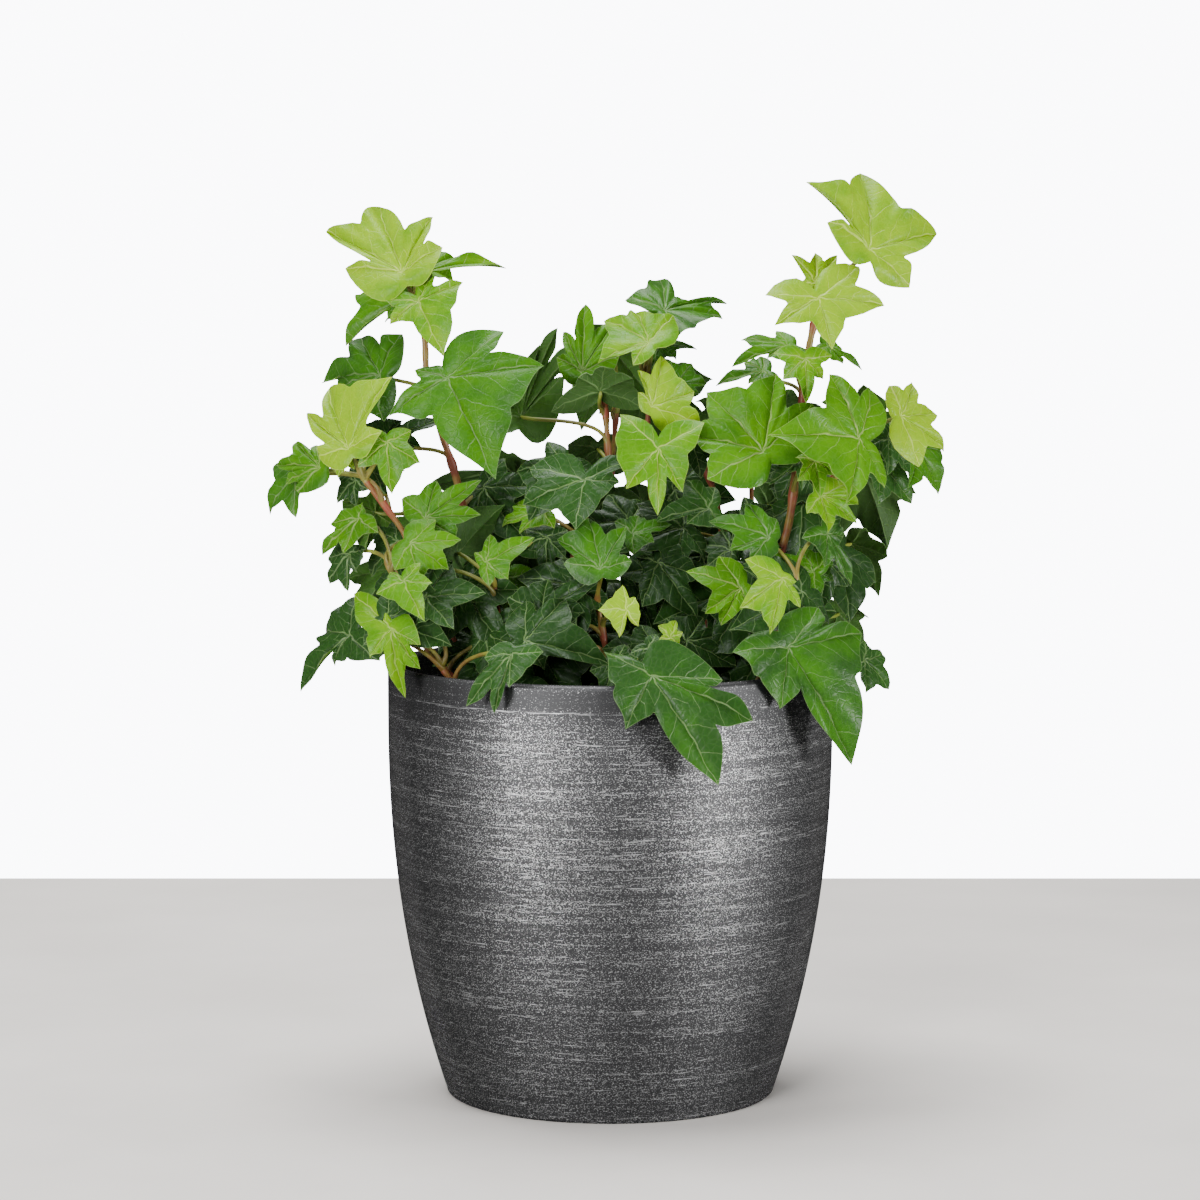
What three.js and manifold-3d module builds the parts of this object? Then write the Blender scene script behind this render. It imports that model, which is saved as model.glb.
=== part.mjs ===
// Potted ivy: a leafy ivy in a tapered cover pot. Millimetres, +Z up, origin on the pot's axis
// at the surface it stands on. The front of the plant looks along -Y.
import * as THREE from 'three';
import { mergeVertices } from 'three/addons/utils/BufferGeometryUtils.js';
import Module from 'manifold-3d';

const wasm = await Module();
wasm.setup();

// Driving dimensions
const GAP = 0.3; // clearance between pieces that touch
const POT_HEIGHT = 136.9;
const POT_RIM_RADIUS = 70.2;
const POT_FOOT_RADIUS = 51.7;
const POT_SHOULDER = 120; // height above which the wall is straight
const POT_TAPER_POWER = 2.2;
const POT_WALL = 4;
const POT_FLOOR = 6;
const POT_LIP_RADIUS = 1.4;
const POT_SIDES = 36;
const GROWER_WALL = 1.2;
const GROWER_RIM_RADIUS = 61;
const GROWER_FOOT_RADIUS = 43;
const GROWER_TOP = 113;
const GROWER_RIM_HEIGHT = 5;
const GROWER_SIDES = 30;
const DRAIN_RADIUS = 4;
const DRAIN_CIRCLE = 26;
const DRAIN_COUNT = 4;
const SOIL_TOP = 108;
const SOIL_SIDES = 30;
const HOLE_RADIUS = 3.4;
const HOLE_FLOOR = 92;
const STEM_SIDES = 6;
const STEM_STEP = 14; // length of one straight piece of a stem
const PETIOLE_RADIUS = 0.8;
const PETIOLE_SIDES = 3;
const PETIOLE_STEPS = 4;
const PETIOLE_SEAT = 1.5; // how far behind the junction a petiole meets the blade
const PETIOLE_DROP = 8; // a petiole leaves its stem at least this far below its leaf, where it can
const PETIOLE_LOWEST = 114;
const PETIOLE_PULL = { rise: 0.35, under: 0.3, back: 0.12 }; // as shares of its run
const BLADE_THICKNESS = 0.9;
const EYE_DISTANCE = 1205; // the leaf places below are as seen from this eye in front of the pot
const EYE_HEIGHT = 270.5;

// Leaf form, as shares of the middle lobe's length and degrees from its vein
const SIDE_LOBE = { angle: 54, reach: 0.76 };
const BASE_LOBE = { angle: 112, reach: 0.52 };
const GIVEN_LOBE_ANGLE = 12; // a given tip further than this from the middle vein is a side lobe
const BASE_LOBE_SPREAD = 45; // least angle between a side lobe and the base lobe behind it
const WIDEST_BASE_LOBE = 150;
const NOTCH_REACH = 0.72;
const SINUS = { reach: 0.13, rise: 0.5 };
const LOBE_BACK = { reach: 0.6, rise: 0.5 };
const LOBE_SIDE = { bulge: 0.085, rise: 0.45 };
const SMALL_LEAF = 23; // shorter leaves have straight-sided lobes
const FOLD = 0.16; // upward fold of the youngest blade along its middle vein
const NOTCH_LIFT = 0.1;
const DROOP = { young: 0.1, added: 0.1 };
const OUTWARD_LEAN = 0.006; // how much more a leaf faces sideways for each millimetre off the axis

// Finishes
const CHARCOAL = { color: 0x3b3b3d, roughness: 0.45, metalness: 0.3 };
const BLACK_PLASTIC = { color: 0x161616, roughness: 0.5, metalness: 0 };
const PEAT = { color: 0x2c1e15, roughness: 0.95, metalness: 0 };
const LEAF_GREEN = { color: 0x4e8f26, roughness: 0.4, metalness: 0 };

/** A leaf as it is seen from the front: junction, depth, facing, age and the tips of its lobes. */
function leaf(x, z, depth, right, up, age, ...tips) {
  return { x, z, depth, right: right + OUTWARD_LEAN * x, up, age, tips, side: 1 };
}

/** A leaf that shows its underside to the front. */
function turned(x, z, depth, right, ...rest) {
  return { ...leaf(x, z, depth, right - 2 * OUTWARD_LEAN * x, ...rest), side: -1 };
}

// Each stem: its radius, its route from the soil up, and its leaves. A leaf's numbers are the place
// of its junction across and up, its depth, how far it faces right and up, its age from 0 (lime) to
// 1 (dark), and its lobe tips in order round the blade, or only the middle one.
const STEMS = [
  {
    name: 'ivy_stem_01', radius: 1.9,
    route: [[-24, 4, 92.3], [-24.5, 4, 112], [-35, 0, 135], [-43, -4, 160], [-47, -6, 190],
      [-53, -7, 210], [-57, -7, 224], [-58, -6, 240], [-61, -5, 253]],
    leaves: [
      leaf(-65, 259, -8, 0.1, 0.55, 0.03, [-84, 261], [-91, 273], [-75, 283], [-56, 277], [-53, 268]),
      leaf(-62, 252, 0, -0.3, 0.9, 0.35, [-81, 253], [-86, 239], [-71, 244]),
      leaf(-60, 250, -12, 0.2, 0.6, 0.2, [-69, 243], [-52, 234], [-46, 256]),
      leaf(-58, 259, 2, 0.2, 1.8, 0.3, [-49, 265], [-33, 265], [-49, 258]),
      leaf(-51, 226, -24, 0.1, 0.5, 0.45, [-34, 242], [-21, 231], [-37, 198], [-70, 215], [-62, 229]),
      leaf(-72, 227, 2, -0.4, 0.7, 0.5, [-67, 241], [-81, 240], [-96, 227], [-90, 223]),
      leaf(-72, 206, 2, 0.2, 0.5, 0.92, [-66, 214], [-54, 215], [-60, 206]),
      leaf(-45, 168, 8, -0.1, 0.4, 1, [-45, 155]),
    ],
  },
  {
    name: 'ivy_stem_02', radius: 1.5,
    route: [[-30, -12, 92.3], [-30.5, -12, 112], [-43, -16, 135], [-52, -20, 155], [-62, -22, 176],
      [-70, -22, 188], [-76, -22, 196]],
    leaves: [
      leaf(-82, 204, -26, -0.1, 0.3, 0.02, [-93, 201], [-98, 215], [-92, 224], [-69, 227], [-72, 210]),
      leaf(-83, 202, -24, 0.1, 0.4, 0.08, [-86, 195]),
      leaf(-91, 198, -14, -0.2, 0.5, 0.35, [-93, 205], [-101, 206], [-108, 199], [-104, 193], [-99, 190]),
      leaf(-98, 196, -8, -0.3, 0.5, 0.45, [-111, 184]),
      leaf(-70, 206, -24, 0.3, 0.2, 0.25, [-69, 190]),
      leaf(-76, 202, -14, -0.2, 0.3, 0.9, [-81, 196], [-72, 190], [-66, 198]),
      leaf(-58, 182, -28, 0.1, 0.4, 0.4, [-66, 188], [-55, 194], [-41, 195], [-41, 184], [-48, 176]),
      leaf(-80, 194, -10, -0.2, 0.3, 0.9, [-88, 187]),
    ],
  },
  {
    name: 'ivy_stem_03', radius: 1.4,
    route: [[-36, -24, 92.3], [-36.5, -24, 112], [-45, -27, 130], [-55, -30, 142], [-62, -32, 156],
      [-67, -32, 168]],
    leaves: [
      leaf(-79, 182, -18, -0.2, 0.5, 0.35, [-78, 187], [-89, 180], [-93, 171], [-84, 171]),
      leaf(-82, 171, -12, -0.3, 0.2, 0.8, [-90, 169], [-91, 161], [-84, 159], [-80, 165]),
      leaf(-63, 174, -34, 0.3, 0.4, 0.35, [-55, 182], [-47, 176], [-51, 167], [-60, 163], [-68, 166]),
      leaf(-67, 175, -26, -0.3, 0.4, 0.75, [-76, 178], [-78, 164], [-69, 166]),
      leaf(-65, 162, -44, 0.1, 0.5, 0.3, [-70, 165], [-74, 158], [-59, 151], [-56, 162], [-60, 168]),
    ],
  },
  {
    name: 'ivy_stem_04', radius: 1.4,
    route: [[-33, -32, 92.3], [-33.5, -32, 112], [-44, -34, 127], [-52, -34, 139]],
    leaves: [
      leaf(-69, 147, -34, -0.1, 0.6, 0.22, [-83, 158], [-76, 138], [-66, 128], [-60, 136], [-60, 143]),
      leaf(-82, 145, -10, -0.4, 0.6, 0.8, [-93, 146], [-103, 128], [-89, 136]),
      leaf(-66, 150, -22, 0.3, 0.3, 0.9, [-60, 143]),
      leaf(-31, 139, -63, 0.1, 0.45, 0.6, [-40, 138], [-46, 124], [-37, 122], [-32, 129]),
    ],
  },
  {
    name: 'ivy_stem_05', radius: 1.5,
    route: [[-14, -20, 92.3], [-14.5, -20, 112], [-26, -22, 132], [-34, -24, 150], [-36, -24, 164]],
    leaves: [
      leaf(-39, 168, -34, 0.1, 0.5, 0.35, [-43, 171], [-38, 177], [-24, 177], [-32, 163], [-38, 161]),
      leaf(-33, 163, -26, 0.2, 0.5, 0.4, [-41, 165], [-40, 159], [-31, 152], [-26, 155], [-23, 165]),
      turned(-48, 171, -20, 0.6, 0.2, 0.7, [-37, 185]),
      turned(-53, 165, -6, 0.2, 0.1, 0.7, [-53, 152]),
      leaf(-20, 176, -12, 0.1, 0.4, 0.85, [-28, 173], [-20, 163], [-14, 170]),
    ],
  },
  {
    name: 'ivy_stem_06', radius: 1.6,
    route: [[-6, -4, 92.3], [-6, -4, 112], [-12, -6, 135], [-13, -8, 160], [-8, -8, 183],
      [-1, -7, 194], [-1, -6, 208], [-2, -5, 222]],
    leaves: [
      leaf(-9, 228, -4, 0, 0.35, 0.4, [-17, 233], [-15, 241], [-8, 251], [2, 245], [3, 234]),
      turned(-3, 222, -12, 0, -0.9, 0.9, [-19, 218], [-10, 228], [-2, 232], [7, 228], [11, 219]),
      leaf(-8, 194, -30, 0, 0.5, 0.72, [-26, 199], [-28, 188], [-11, 180], [3, 194], [7, 202]),
      turned(-28, 214, 2, 0.4, 0.2, 0.5, [-33, 225], [-24, 236], [-19, 241], [-12, 236], [-16, 226]),
      leaf(-21, 184, -14, -0.2, 1, 0.3, [-31, 187], [-35, 181], [-29, 178]),
      leaf(-24, 179, -6, 0.1, 1.6, 0.9, [-29, 182], [-12, 177], [-24, 174]),
      turned(-30, 196, 8, -0.2, -0.8, 0.8, [-26, 203], [-43, 204], [-58, 196], [-41, 197]),
    ],
  },
  {
    name: 'ivy_stem_07', radius: 1.5,
    route: [[4, -24, 92.3], [4, -24, 112], [0, -26, 135], [-4, -26, 158]],
    leaves: [
      leaf(-3, 166, -38, 0, 0.4, 0.45, [-15, 168], [-17, 176], [-7, 183], [5, 180], [7, 169]),
      leaf(5, 153, -46, 0.1, 0.5, 0.02, [3, 145], [-4, 153], [4, 161], [8, 157], [9, 148]),
      leaf(-27, 143, -55, 0.1, 0.6, 0.85, [-27, 157], [-14, 158], [0, 139], [-21, 136]),
      leaf(-22, 152, -42, 0.1, 0.6, 0.9, [-20, 163], [-3, 165], [-8, 153]),
      leaf(19, 144, -40, 0, 0.6, 0.15, [15, 148], [21, 150], [23, 146]),
    ],
  },
  {
    name: 'ivy_stem_08', radius: 1.5,
    route: [[10, -40, 92.3], [10, -40, 112], [8, -46, 126], [9, -52, 136]],
    leaves: [
      leaf(13, 132, -68, 0.05, 0.5, 0.7, [-2, 140], [5, 117], [35, 101], [46, 120], [36, 131]),
      leaf(12, 141, -50, 0.1, 0.6, 0.85, [20, 133]),
      leaf(24, 143, -34, 0.1, 0.5, 1, [12, 141], [30, 151], [43, 146], [41, 136], [22, 133]),
    ],
  },
  {
    name: 'ivy_stem_09', radius: 2,
    route: [[34, -4, 92.3], [34.5, -4, 112], [44, -6, 133], [47, -7, 150], [52, -8, 168],
      [56, -8, 182], [58.5, -8, 204], [60, -7, 220], [62, -6, 236], [65, -4, 249]],
    leaves: [
      leaf(65, 251, -12, 0, 0.6, 0.02, [48, 252], [51, 243], [70, 236], [87, 249], [79, 261]),
      leaf(64, 256, -2, 0, 0.3, 0.02, [57, 265], [65, 266], [72, 265]),
      leaf(81, 266, -14, 0.1, 0.5, 0.08, [69, 276], [63, 289], [82, 293], [105, 272], [95, 255]),
      leaf(61, 232, -16, 0, 0.5, 0.25, [51, 234], [54, 226], [62, 219], [67, 226], [70, 233]),
      leaf(56, 236, -2, -0.2, 1, 0.4, [52, 241], [41, 239], [38, 232], [49, 233]),
      leaf(68, 236, 0, 0.2, 1.2, 0.4, [73, 235], [80, 230], [73, 231]),
      leaf(48, 228, 6, -0.1, 1.4, 0.4, [42, 231], [33, 226], [43, 225]),
      leaf(60, 200, -16, -0.2, 0.6, 0.6, [56, 204], [50, 194], [56, 197]),
    ],
  },
  {
    name: 'ivy_stem_10', radius: 1.6,
    route: [[44, 8, 92.3], [44.5, 8, 112], [54, 8, 140], [62, 6, 165], [66, 4, 185], [72, 0, 198]],
    leaves: [
      leaf(78, 207, -26, 0.1, 0.45, 0.3, [87, 192], [75, 188], [52, 211], [70, 228], [84, 224]),
      leaf(91, 214, -8, 0.2, 0.4, 0.05, [88, 224], [96, 225], [105, 215], [107, 203], [97, 198]),
      leaf(87, 207, 2, 0.2, 0.4, 0.7, [95, 211], [96, 196], [88, 196]),
      leaf(84, 200, 10, 0.3, 0.5, 0.6, [97, 187]),
      leaf(96, 204, 6, 0.3, 0.4, 0.5, [106, 190]),
      leaf(66, 189, -22, 0.1, 0.5, 0.25, [62, 184], [69, 178], [79, 181], [80, 187], [75, 193]),
      leaf(64, 200, -14, 0.1, 0.4, 0.25, [67, 189]),
    ],
  },
  {
    name: 'ivy_stem_11', radius: 1.5,
    route: [[40, -20, 92.3], [40.5, -20, 112], [46, -24, 130], [52, -30, 150], [57, -30, 165]],
    leaves: [
      leaf(54, 163, -44, 0.05, 0.5, 0.2, [42, 169], [41, 155], [51, 147], [60, 154], [59, 162]),
      leaf(64, 165, -26, -0.1, 0.5, 0.4, [60, 173], [48, 171], [54, 164]),
      leaf(68, 177, -16, 0.3, 0.4, 0.55, [74, 176], [78, 161], [68, 167]),
      leaf(65, 165, -18, 0.2, 0.5, 0.5, [71, 169]),
      leaf(50, 176, -30, 0, 0.5, 0.5, [53, 182], [43, 188], [32, 183], [38, 173], [44, 169]),
    ],
  },
  {
    name: 'ivy_stem_12', radius: 1.5,
    route: [[30, -34, 92.3], [30.5, -34, 112], [40, -38, 126], [48, -40, 136]],
    leaves: [
      leaf(56, 141, -46, 0.15, 0.45, 0.6, [39, 141], [54, 123], [80, 106], [82, 145], [67, 153]),
      leaf(80, 137, -20, 0.3, 0.5, 0.6, [90, 128]),
      leaf(41, 160, -36, -0.1, 0.45, 0.3, [34, 170], [24, 166], [30, 153], [35, 149], [45, 151]),
    ],
  },
  {
    name: 'ivy_stem_13', radius: 1.6,
    route: [[18, 2, 92.3], [18.5, 2, 112], [28, 2, 140], [36, 2, 165], [34, 2, 185], [29, 0, 200],
      [22, -2, 216]],
    leaves: [
      leaf(15, 204, -30, 0, 0.4, 0.2, [3, 215], [5, 192], [15, 184], [23, 191], [30, 212]),
      leaf(13, 217, -20, 0.2, 0.3, 0.12, [9, 222], [9, 229], [17, 234], [27, 222], [29, 212]),
      leaf(20, 224, -8, 0.2, 0.5, 0.5, [19, 232], [26, 231], [31, 225], [28, 221]),
      leaf(48, 203, -22, -0.1, 0.45, 0.35, [30, 195], [25, 209], [31, 223], [53, 228], [65, 218]),
      leaf(26, 206, -10, 0, 0.3, 0.95, [29, 195]),
      leaf(31, 185, -16, -0.1, 0.7, 0.6, [24, 195], [14, 183], [24, 181]),
      leaf(38, 172, -8, -0.2, 0.9, 1, [26, 175]),
    ],
  },
  {
    name: 'ivy_stem_14', radius: 1.5,
    route: [[8, 14, 92.3], [8, 14, 112], [10, 14, 140], [14, 12, 170], [12, 8, 200], [12, 4, 225]],
    leaves: [
      leaf(12, 237, -14, 0, 1, 0.22, [20, 246], [8, 248], [-2, 246], [-4, 232], [7, 231]),
      leaf(17, 247, 2, 0.2, 1.6, 0.5, [25, 250], [38, 253], [36, 247]),
      leaf(15, 236, 0, 0.1, 0.9, 0.55, [21, 239], [28, 237], [21, 233]),
      leaf(7, 177, -20, 0.1, 0.8, 0.55, [9, 183], [20, 181], [14, 175]),
      leaf(15, 168, -16, 0, 0.5, 1, [8, 170], [10, 155], [28, 152], [29, 164]),
    ],
  },
];

// Stems of the far side, with the seen places behind the front leaves where their own leaves sit
const FAR_STEMS = [
  {
    name: 'ivy_stem_15', radius: 1.5,
    route: [[-22, 26, 92.3], [-22.5, 26, 112], [-34, 36, 135], [-42, 42, 158], [-50, 40, 178]],
    spots: [[-62, 152, 46], [-70, 166, 30], [-62, 180, 44], [-44, 178, 54], [-36, 160, 60], [-74, 184, 14]],
  },
  {
    name: 'ivy_stem_16', radius: 1.5,
    route: [[0, 40, 92.3], [0, 40, 112], [-4, 50, 135], [-4, 54, 160], [0, 50, 190], [2, 42, 214]],
    spots: [[-20, 148, 66], [4, 160, 70], [-12, 176, 60], [10, 186, 62], [-4, 204, 54], [10, 222, 46],
      [0, 236, 34]],
  },
  {
    name: 'ivy_stem_17', radius: 1.5,
    route: [[26, 30, 92.3], [26.5, 30, 112], [36, 40, 135], [44, 44, 160], [46, 42, 185], [44, 36, 205]],
    spots: [[28, 166, 50], [46, 166, 56], [30, 176, 62], [44, 206, 52], [54, 214, 40], [36, 216, 48],
      [56, 156, 44]],
  },
  {
    name: 'ivy_stem_18', radius: 1.5,
    route: [[44, 16, 92.3], [44.5, 16, 112], [55, 22, 135], [68, 28, 160], [74, 26, 185], [78, 22, 205]],
    spots: [[72, 152, 36], [76, 174, 42], [80, 196, 38], [84, 214, 28]],
  },
];
const FAR_LEAF = { shortest: 20, longest: 34, youngest: 0.3, facingUp: -0.6, facingRight: 0.6, turn: 130 };
const FAR_LEAF_FALL = { across: 0.9, down: 0.8 }; // its tip's seen shift for each millimetre of length
const SEED = 29;

// How a leaf is brought clear of what is set before it
const CLEARANCE = 1.7; // between the middles of two blades, or a blade and a petiole
const STEM_CLEARANCE = 1.6; // between a stem's skin and the middle of a blade
const PETIOLE_CLEARANCE = 3.2; // between the middles of two petioles of different stems
const STEP_BACK = 2.5;
const STEP_COUNT = 14;

// --- Vectors and seeded numbers ------------------------------------------------------------------

const vector = (x, y, z) => new THREE.Vector3(x, y, z);
const radians = (degrees) => (degrees * Math.PI) / 180;

/** A seeded source of even random numbers from 0 to 1. */
function randomFrom(seed) {
  let state = seed;
  return () => {
    state = (state * 16807) % 2147483647;
    return state / 2147483647;
  };
}

/** The real place of a point seen at (x, z) that lies at a depth behind the pot's axis. */
function sighted(x, depth, z) {
  const grow = 1 + depth / EYE_DISTANCE;
  return vector(x * grow, depth, EYE_HEIGHT + (z - EYE_HEIGHT) * grow);
}

// --- Leaf blades ---------------------------------------------------------------------------------

/** The blade's own axes: towards its front face, along its middle vein, and across it. */
function bladeAxes(row, middle) {
  const front = vector(row.right, -1, row.up).normalize();
  const along = vector(middle[0], row.right * middle[0] + row.up * middle[1], middle[1]);
  const length = along.length();
  along.normalize();
  return { front, along, across: along.clone().cross(front), length };
}

/** The lobes of a blade as angle and reach, from the tips that the row gives or the plain form. */
function lobesOf(row, scale) {
  const seen = row.tips.map(([x, z]) => [(x - row.x) * scale, (z - row.z) * scale]);
  const middle = seen[Math.floor(seen.length / 2)];
  const axes = bladeAxes(row, middle);
  const lobes = seen.map((tip) => {
    const reach = vector(tip[0], row.right * tip[0] + row.up * tip[1], tip[1]);
    const angle = Math.atan2(reach.dot(axes.across), reach.dot(axes.along));
    return { angle, reach: reach.length() };
  });
  addMissingLobes(lobes, axes.length);
  lobes.sort((a, b) => a.angle - b.angle);
  return { lobes, axes };
}

/** Adds the side and base lobes that a row leaves out, on each side of the middle vein. */
function addMissingLobes(lobes, length) {
  for (const side of [-1, 1]) {
    const given = lobes.filter((lobe) => lobe.angle * side > radians(GIVEN_LOBE_ANGLE));
    if (given.length === 0) {
      lobes.push({ angle: side * radians(SIDE_LOBE.angle), reach: SIDE_LOBE.reach * length });
    }
    if (given.length < 2) {
      const widest = Math.max(...given.map((lobe) => lobe.angle * side), radians(SIDE_LOBE.angle));
      const behind = Math.min(widest + radians(BASE_LOBE_SPREAD), radians(WIDEST_BASE_LOBE));
      const angle = Math.max(radians(BASE_LOBE.angle), behind);
      lobes.push({ angle: side * angle, reach: BASE_LOBE.reach * length });
    }
  }
}

/** A flat outline point, and how far it lies from a lobe's vein (0) towards a notch (1). */
const outlinePoint = (x, y, rise) => ({ x, y, rise });
const polarPoint = (angle, reach, rise) =>
  outlinePoint(reach * Math.sin(angle), reach * Math.cos(angle), rise);

/** The point halfway up one side of a lobe, pushed out from the straight line. */
function lobeSide(notch, tip, side) {
  const reach = Math.hypot(tip.x, tip.y);
  const outX = (side * tip.y) / reach;
  const outY = (-side * tip.x) / reach;
  const push = LOBE_SIDE.bulge * reach;
  const x = (notch.x + tip.x) / 2 + outX * push;
  const y = (notch.y + tip.y) / 2 + outY * push;
  return outlinePoint(x, y, LOBE_SIDE.rise);
}

/** The blade's outline round its junction, from the sinus round by every tip and notch. */
function bladeOutline(lobes, length) {
  const fine = length > SMALL_LEAF;
  const last = lobes.length - 1;
  const points = [polarPoint(-Math.PI, SINUS.reach * length, SINUS.rise), backOfLobe(lobes[0], -1)];
  lobes.forEach((lobe, index) => {
    const tip = polarPoint(lobe.angle, lobe.reach, 0);
    points.push(tip);
    if (index === last) return;
    const next = lobes[index + 1];
    const notch = notchBetween(lobe, next);
    if (fine) points.push(lobeSide(notch, tip, 1));
    points.push(notch);
    if (fine) points.push(lobeSide(notch, polarPoint(next.angle, next.reach, 0), -1));
  });
  points.push(backOfLobe(lobes[last], 1));
  return points;
}

/** The low point between two lobes. */
function notchBetween(lobe, next) {
  const reach = NOTCH_REACH * Math.min(lobe.reach, next.reach);
  return polarPoint((lobe.angle + next.angle) / 2, reach, 1);
}

/** The round back of a base lobe, on its way to the sinus. */
function backOfLobe(lobe, side) {
  const angle = (lobe.angle + side * Math.PI) / 2;
  return polarPoint(angle, LOBE_BACK.reach * lobe.reach, LOBE_BACK.rise);
}

/** How far a blade's point stands off its flat plane: folded up, raised at notches, drooping out. */
function bladeHeight(point, length, age) {
  const reach = Math.hypot(point.x, point.y);
  const fold = FOLD * (1 - age) * Math.abs(point.x);
  const droop = (DROOP.young + DROOP.added * age) * reach * reach / length;
  return fold + NOTCH_LIFT * reach * point.rise - droop;
}

/** A leaf set at a depth: its junction, its outline in space and its upper side's direction. */
function placedLeaf(row, depth) {
  const junction = sighted(row.x, depth, row.z);
  const { lobes, axes } = lobesOf(row, 1 + depth / EYE_DISTANCE);
  const upper = axes.front.clone().multiplyScalar(row.side);
  const rim = bladeOutline(lobes, axes.length).map((point) =>
    junction.clone()
      .addScaledVector(axes.across, point.x)
      .addScaledVector(axes.along, point.y)
      .addScaledVector(upper, bladeHeight(point, axes.length, row.age)));
  const span = Math.max(...rim.map((point) => point.distanceTo(junction)));
  return { row, junction, rim, upper, span, ...axes };
}

/** The blade as a closed thin solid: a fan from the junction, split alike on both faces. */
function bladeGeometry(placed) {
  const half = BLADE_THICKNESS / 2;
  const middle = [placed.junction, ...placed.rim];
  const lift = (side) => middle.map((point) => point.clone().addScaledVector(placed.front, side * half));
  const corners = [...lift(1), ...lift(-1)];
  const count = placed.rim.length;
  const faces = [];
  for (let i = 1; i <= count; i += 1) {
    const next = (i % count) + 1;
    const under = count + 1;
    faces.push(0, next, i, under, under + i, under + next);
    faces.push(i, next, under + next, i, under + next, under + i);
  }
  return facetGeometry(corners, faces);
}

/** A geometry from corner points and corner numbers. */
function facetGeometry(corners, faces) {
  const geometry = new THREE.BufferGeometry();
  const numbers = corners.flatMap((point) => point.toArray());
  geometry.setAttribute('position', new THREE.Float32BufferAttribute(numbers, 3));
  geometry.setIndex(faces);
  return geometry;
}

// --- Stems and petioles --------------------------------------------------------------------------

/** A stem's route as a smooth curve. */
function stemCurve(stem) {
  const points = stem.route.map((point) => vector(...point));
  return new THREE.CatmullRomCurve3(points, false, 'catmullrom', 0.5);
}

/** The number of straight pieces that a stem is made of. */
const stemSteps = (curve) => Math.round(curve.getLength() / STEM_STEP);

/** A closed round bar of a few sides along a curve. */
function barGeometry(curve, radius, sides, steps) {
  const section = new THREE.Shape();
  for (let i = 0; i < sides; i += 1) {
    const angle = (2 * Math.PI * i) / sides;
    const corner = [radius * Math.cos(angle), radius * Math.sin(angle)];
    if (i === 0) section.moveTo(...corner);
    else section.lineTo(...corner);
  }
  section.closePath();
  return new THREE.ExtrudeGeometry(section, { steps, extrudePath: curve, bevelEnabled: false });
}

/** The place on a stem where a petiole leaves it: below the leaf, by a share of the petiole's run. */
function petioleFoot(curve, junction) {
  const samples = curve.getPoints(40).filter((point) => point.z > PETIOLE_LOWEST);
  let foot = samples[0];
  let best = Infinity;
  for (const point of samples) {
    const short = Math.max(0, PETIOLE_DROP - (junction.z - point.z));
    const cost = point.distanceTo(junction) + 1.5 * short;
    if (cost < best) {
      best = cost;
      foot = point;
    }
  }
  return foot;
}

/** A petiole from its foot to under a blade's junction, bowed out by a sideways share. */
function petioleCurve(placed, foot, bow) {
  const run = foot.distanceTo(placed.junction);
  const start = foot.clone().add(vector(bow[0], bow[1], PETIOLE_PULL.rise).multiplyScalar(run));
  const seat = placed.junction.clone().addScaledVector(placed.along, -PETIOLE_SEAT);
  const end = seat.clone()
    .addScaledVector(placed.upper, -PETIOLE_PULL.under * run)
    .addScaledVector(placed.along, -PETIOLE_PULL.back * run);
  return new THREE.CubicBezierCurve3(foot, start, end, seat);
}

const BOWS = [[0, 0], [0, -0.3], [0, 0.3], [-0.3, 0], [0.3, 0], [-0.3, -0.3], [0.3, -0.3]];

// --- Keeping leaves clear of each other ----------------------------------------------------------

/** The triangles of a set leaf's fan. */
const fanOf = (placed) => placed.rim.map((point, index) =>
  [placed.junction, point, placed.rim[(index + 1) % placed.rim.length]]);

/** The edges of a set leaf's fan. */
function edgesOf(placed) {
  const spokes = placed.rim.map((point) => [placed.junction, point]);
  const border = placed.rim.map((point, index) => [point, placed.rim[(index + 1) % placed.rim.length]]);
  return [...spokes, ...border];
}

/** Whether a segment passes through a triangle. */
function pierces([start, end], [a, b, c]) {
  const run = end.clone().sub(start);
  const ab = b.clone().sub(a);
  const ac = c.clone().sub(a);
  const cross = run.clone().cross(ac);
  const scale = ab.dot(cross);
  if (Math.abs(scale) < 1e-9) return false;
  const from = start.clone().sub(a);
  const u = from.dot(cross) / scale;
  if (u < 0 || u > 1) return false;
  const turn = from.clone().cross(ab);
  const v = run.dot(turn) / scale;
  if (v < 0 || u + v > 1) return false;
  const t = ac.dot(turn) / scale;
  return t >= 0 && t <= 1;
}

const SIDEWAYS = [[1, 0, 0], [-1, 0, 0], [0, 1, 0], [0, -1, 0], [0, 0, 1], [0, 0, -1]];
const NUDGES = [vector(0, 0, 0), ...[0.5, 1].flatMap((share) =>
  SIDEWAYS.map((way) => vector(...way).multiplyScalar(share)))];

/** Whether any of some segments, nudged all ways by a reach, meets any of some triangles. */
function meets(segments, triangles, reach = CLEARANCE) {
  return NUDGES.some((nudge) => segments.some((segment) => {
    const moved = segment.map((point) => point.clone().addScaledVector(nudge, reach));
    return triangles.some((triangle) => pierces(moved, triangle));
  }));
}

/** The straight segments between evenly spaced points of a curve. */
function segmentsOf(curve, steps) {
  const points = curve.getSpacedPoints(steps);
  return points.slice(1).map((point, index) => [points[index], point]);
}

/** Whether two runs of segments come closer than a distance, tested at spots along them. */
function near(first, second, distance) {
  const shares = [0, 0.2, 0.4, 0.6, 0.8, 1];
  const spots = (segments) => segments.flatMap(([a, b]) => shares.map((share) => a.clone().lerp(b, share)));
  const others = spots(second);
  return spots(first).some((spot) => others.some((other) => spot.distanceTo(other) < distance));
}

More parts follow.
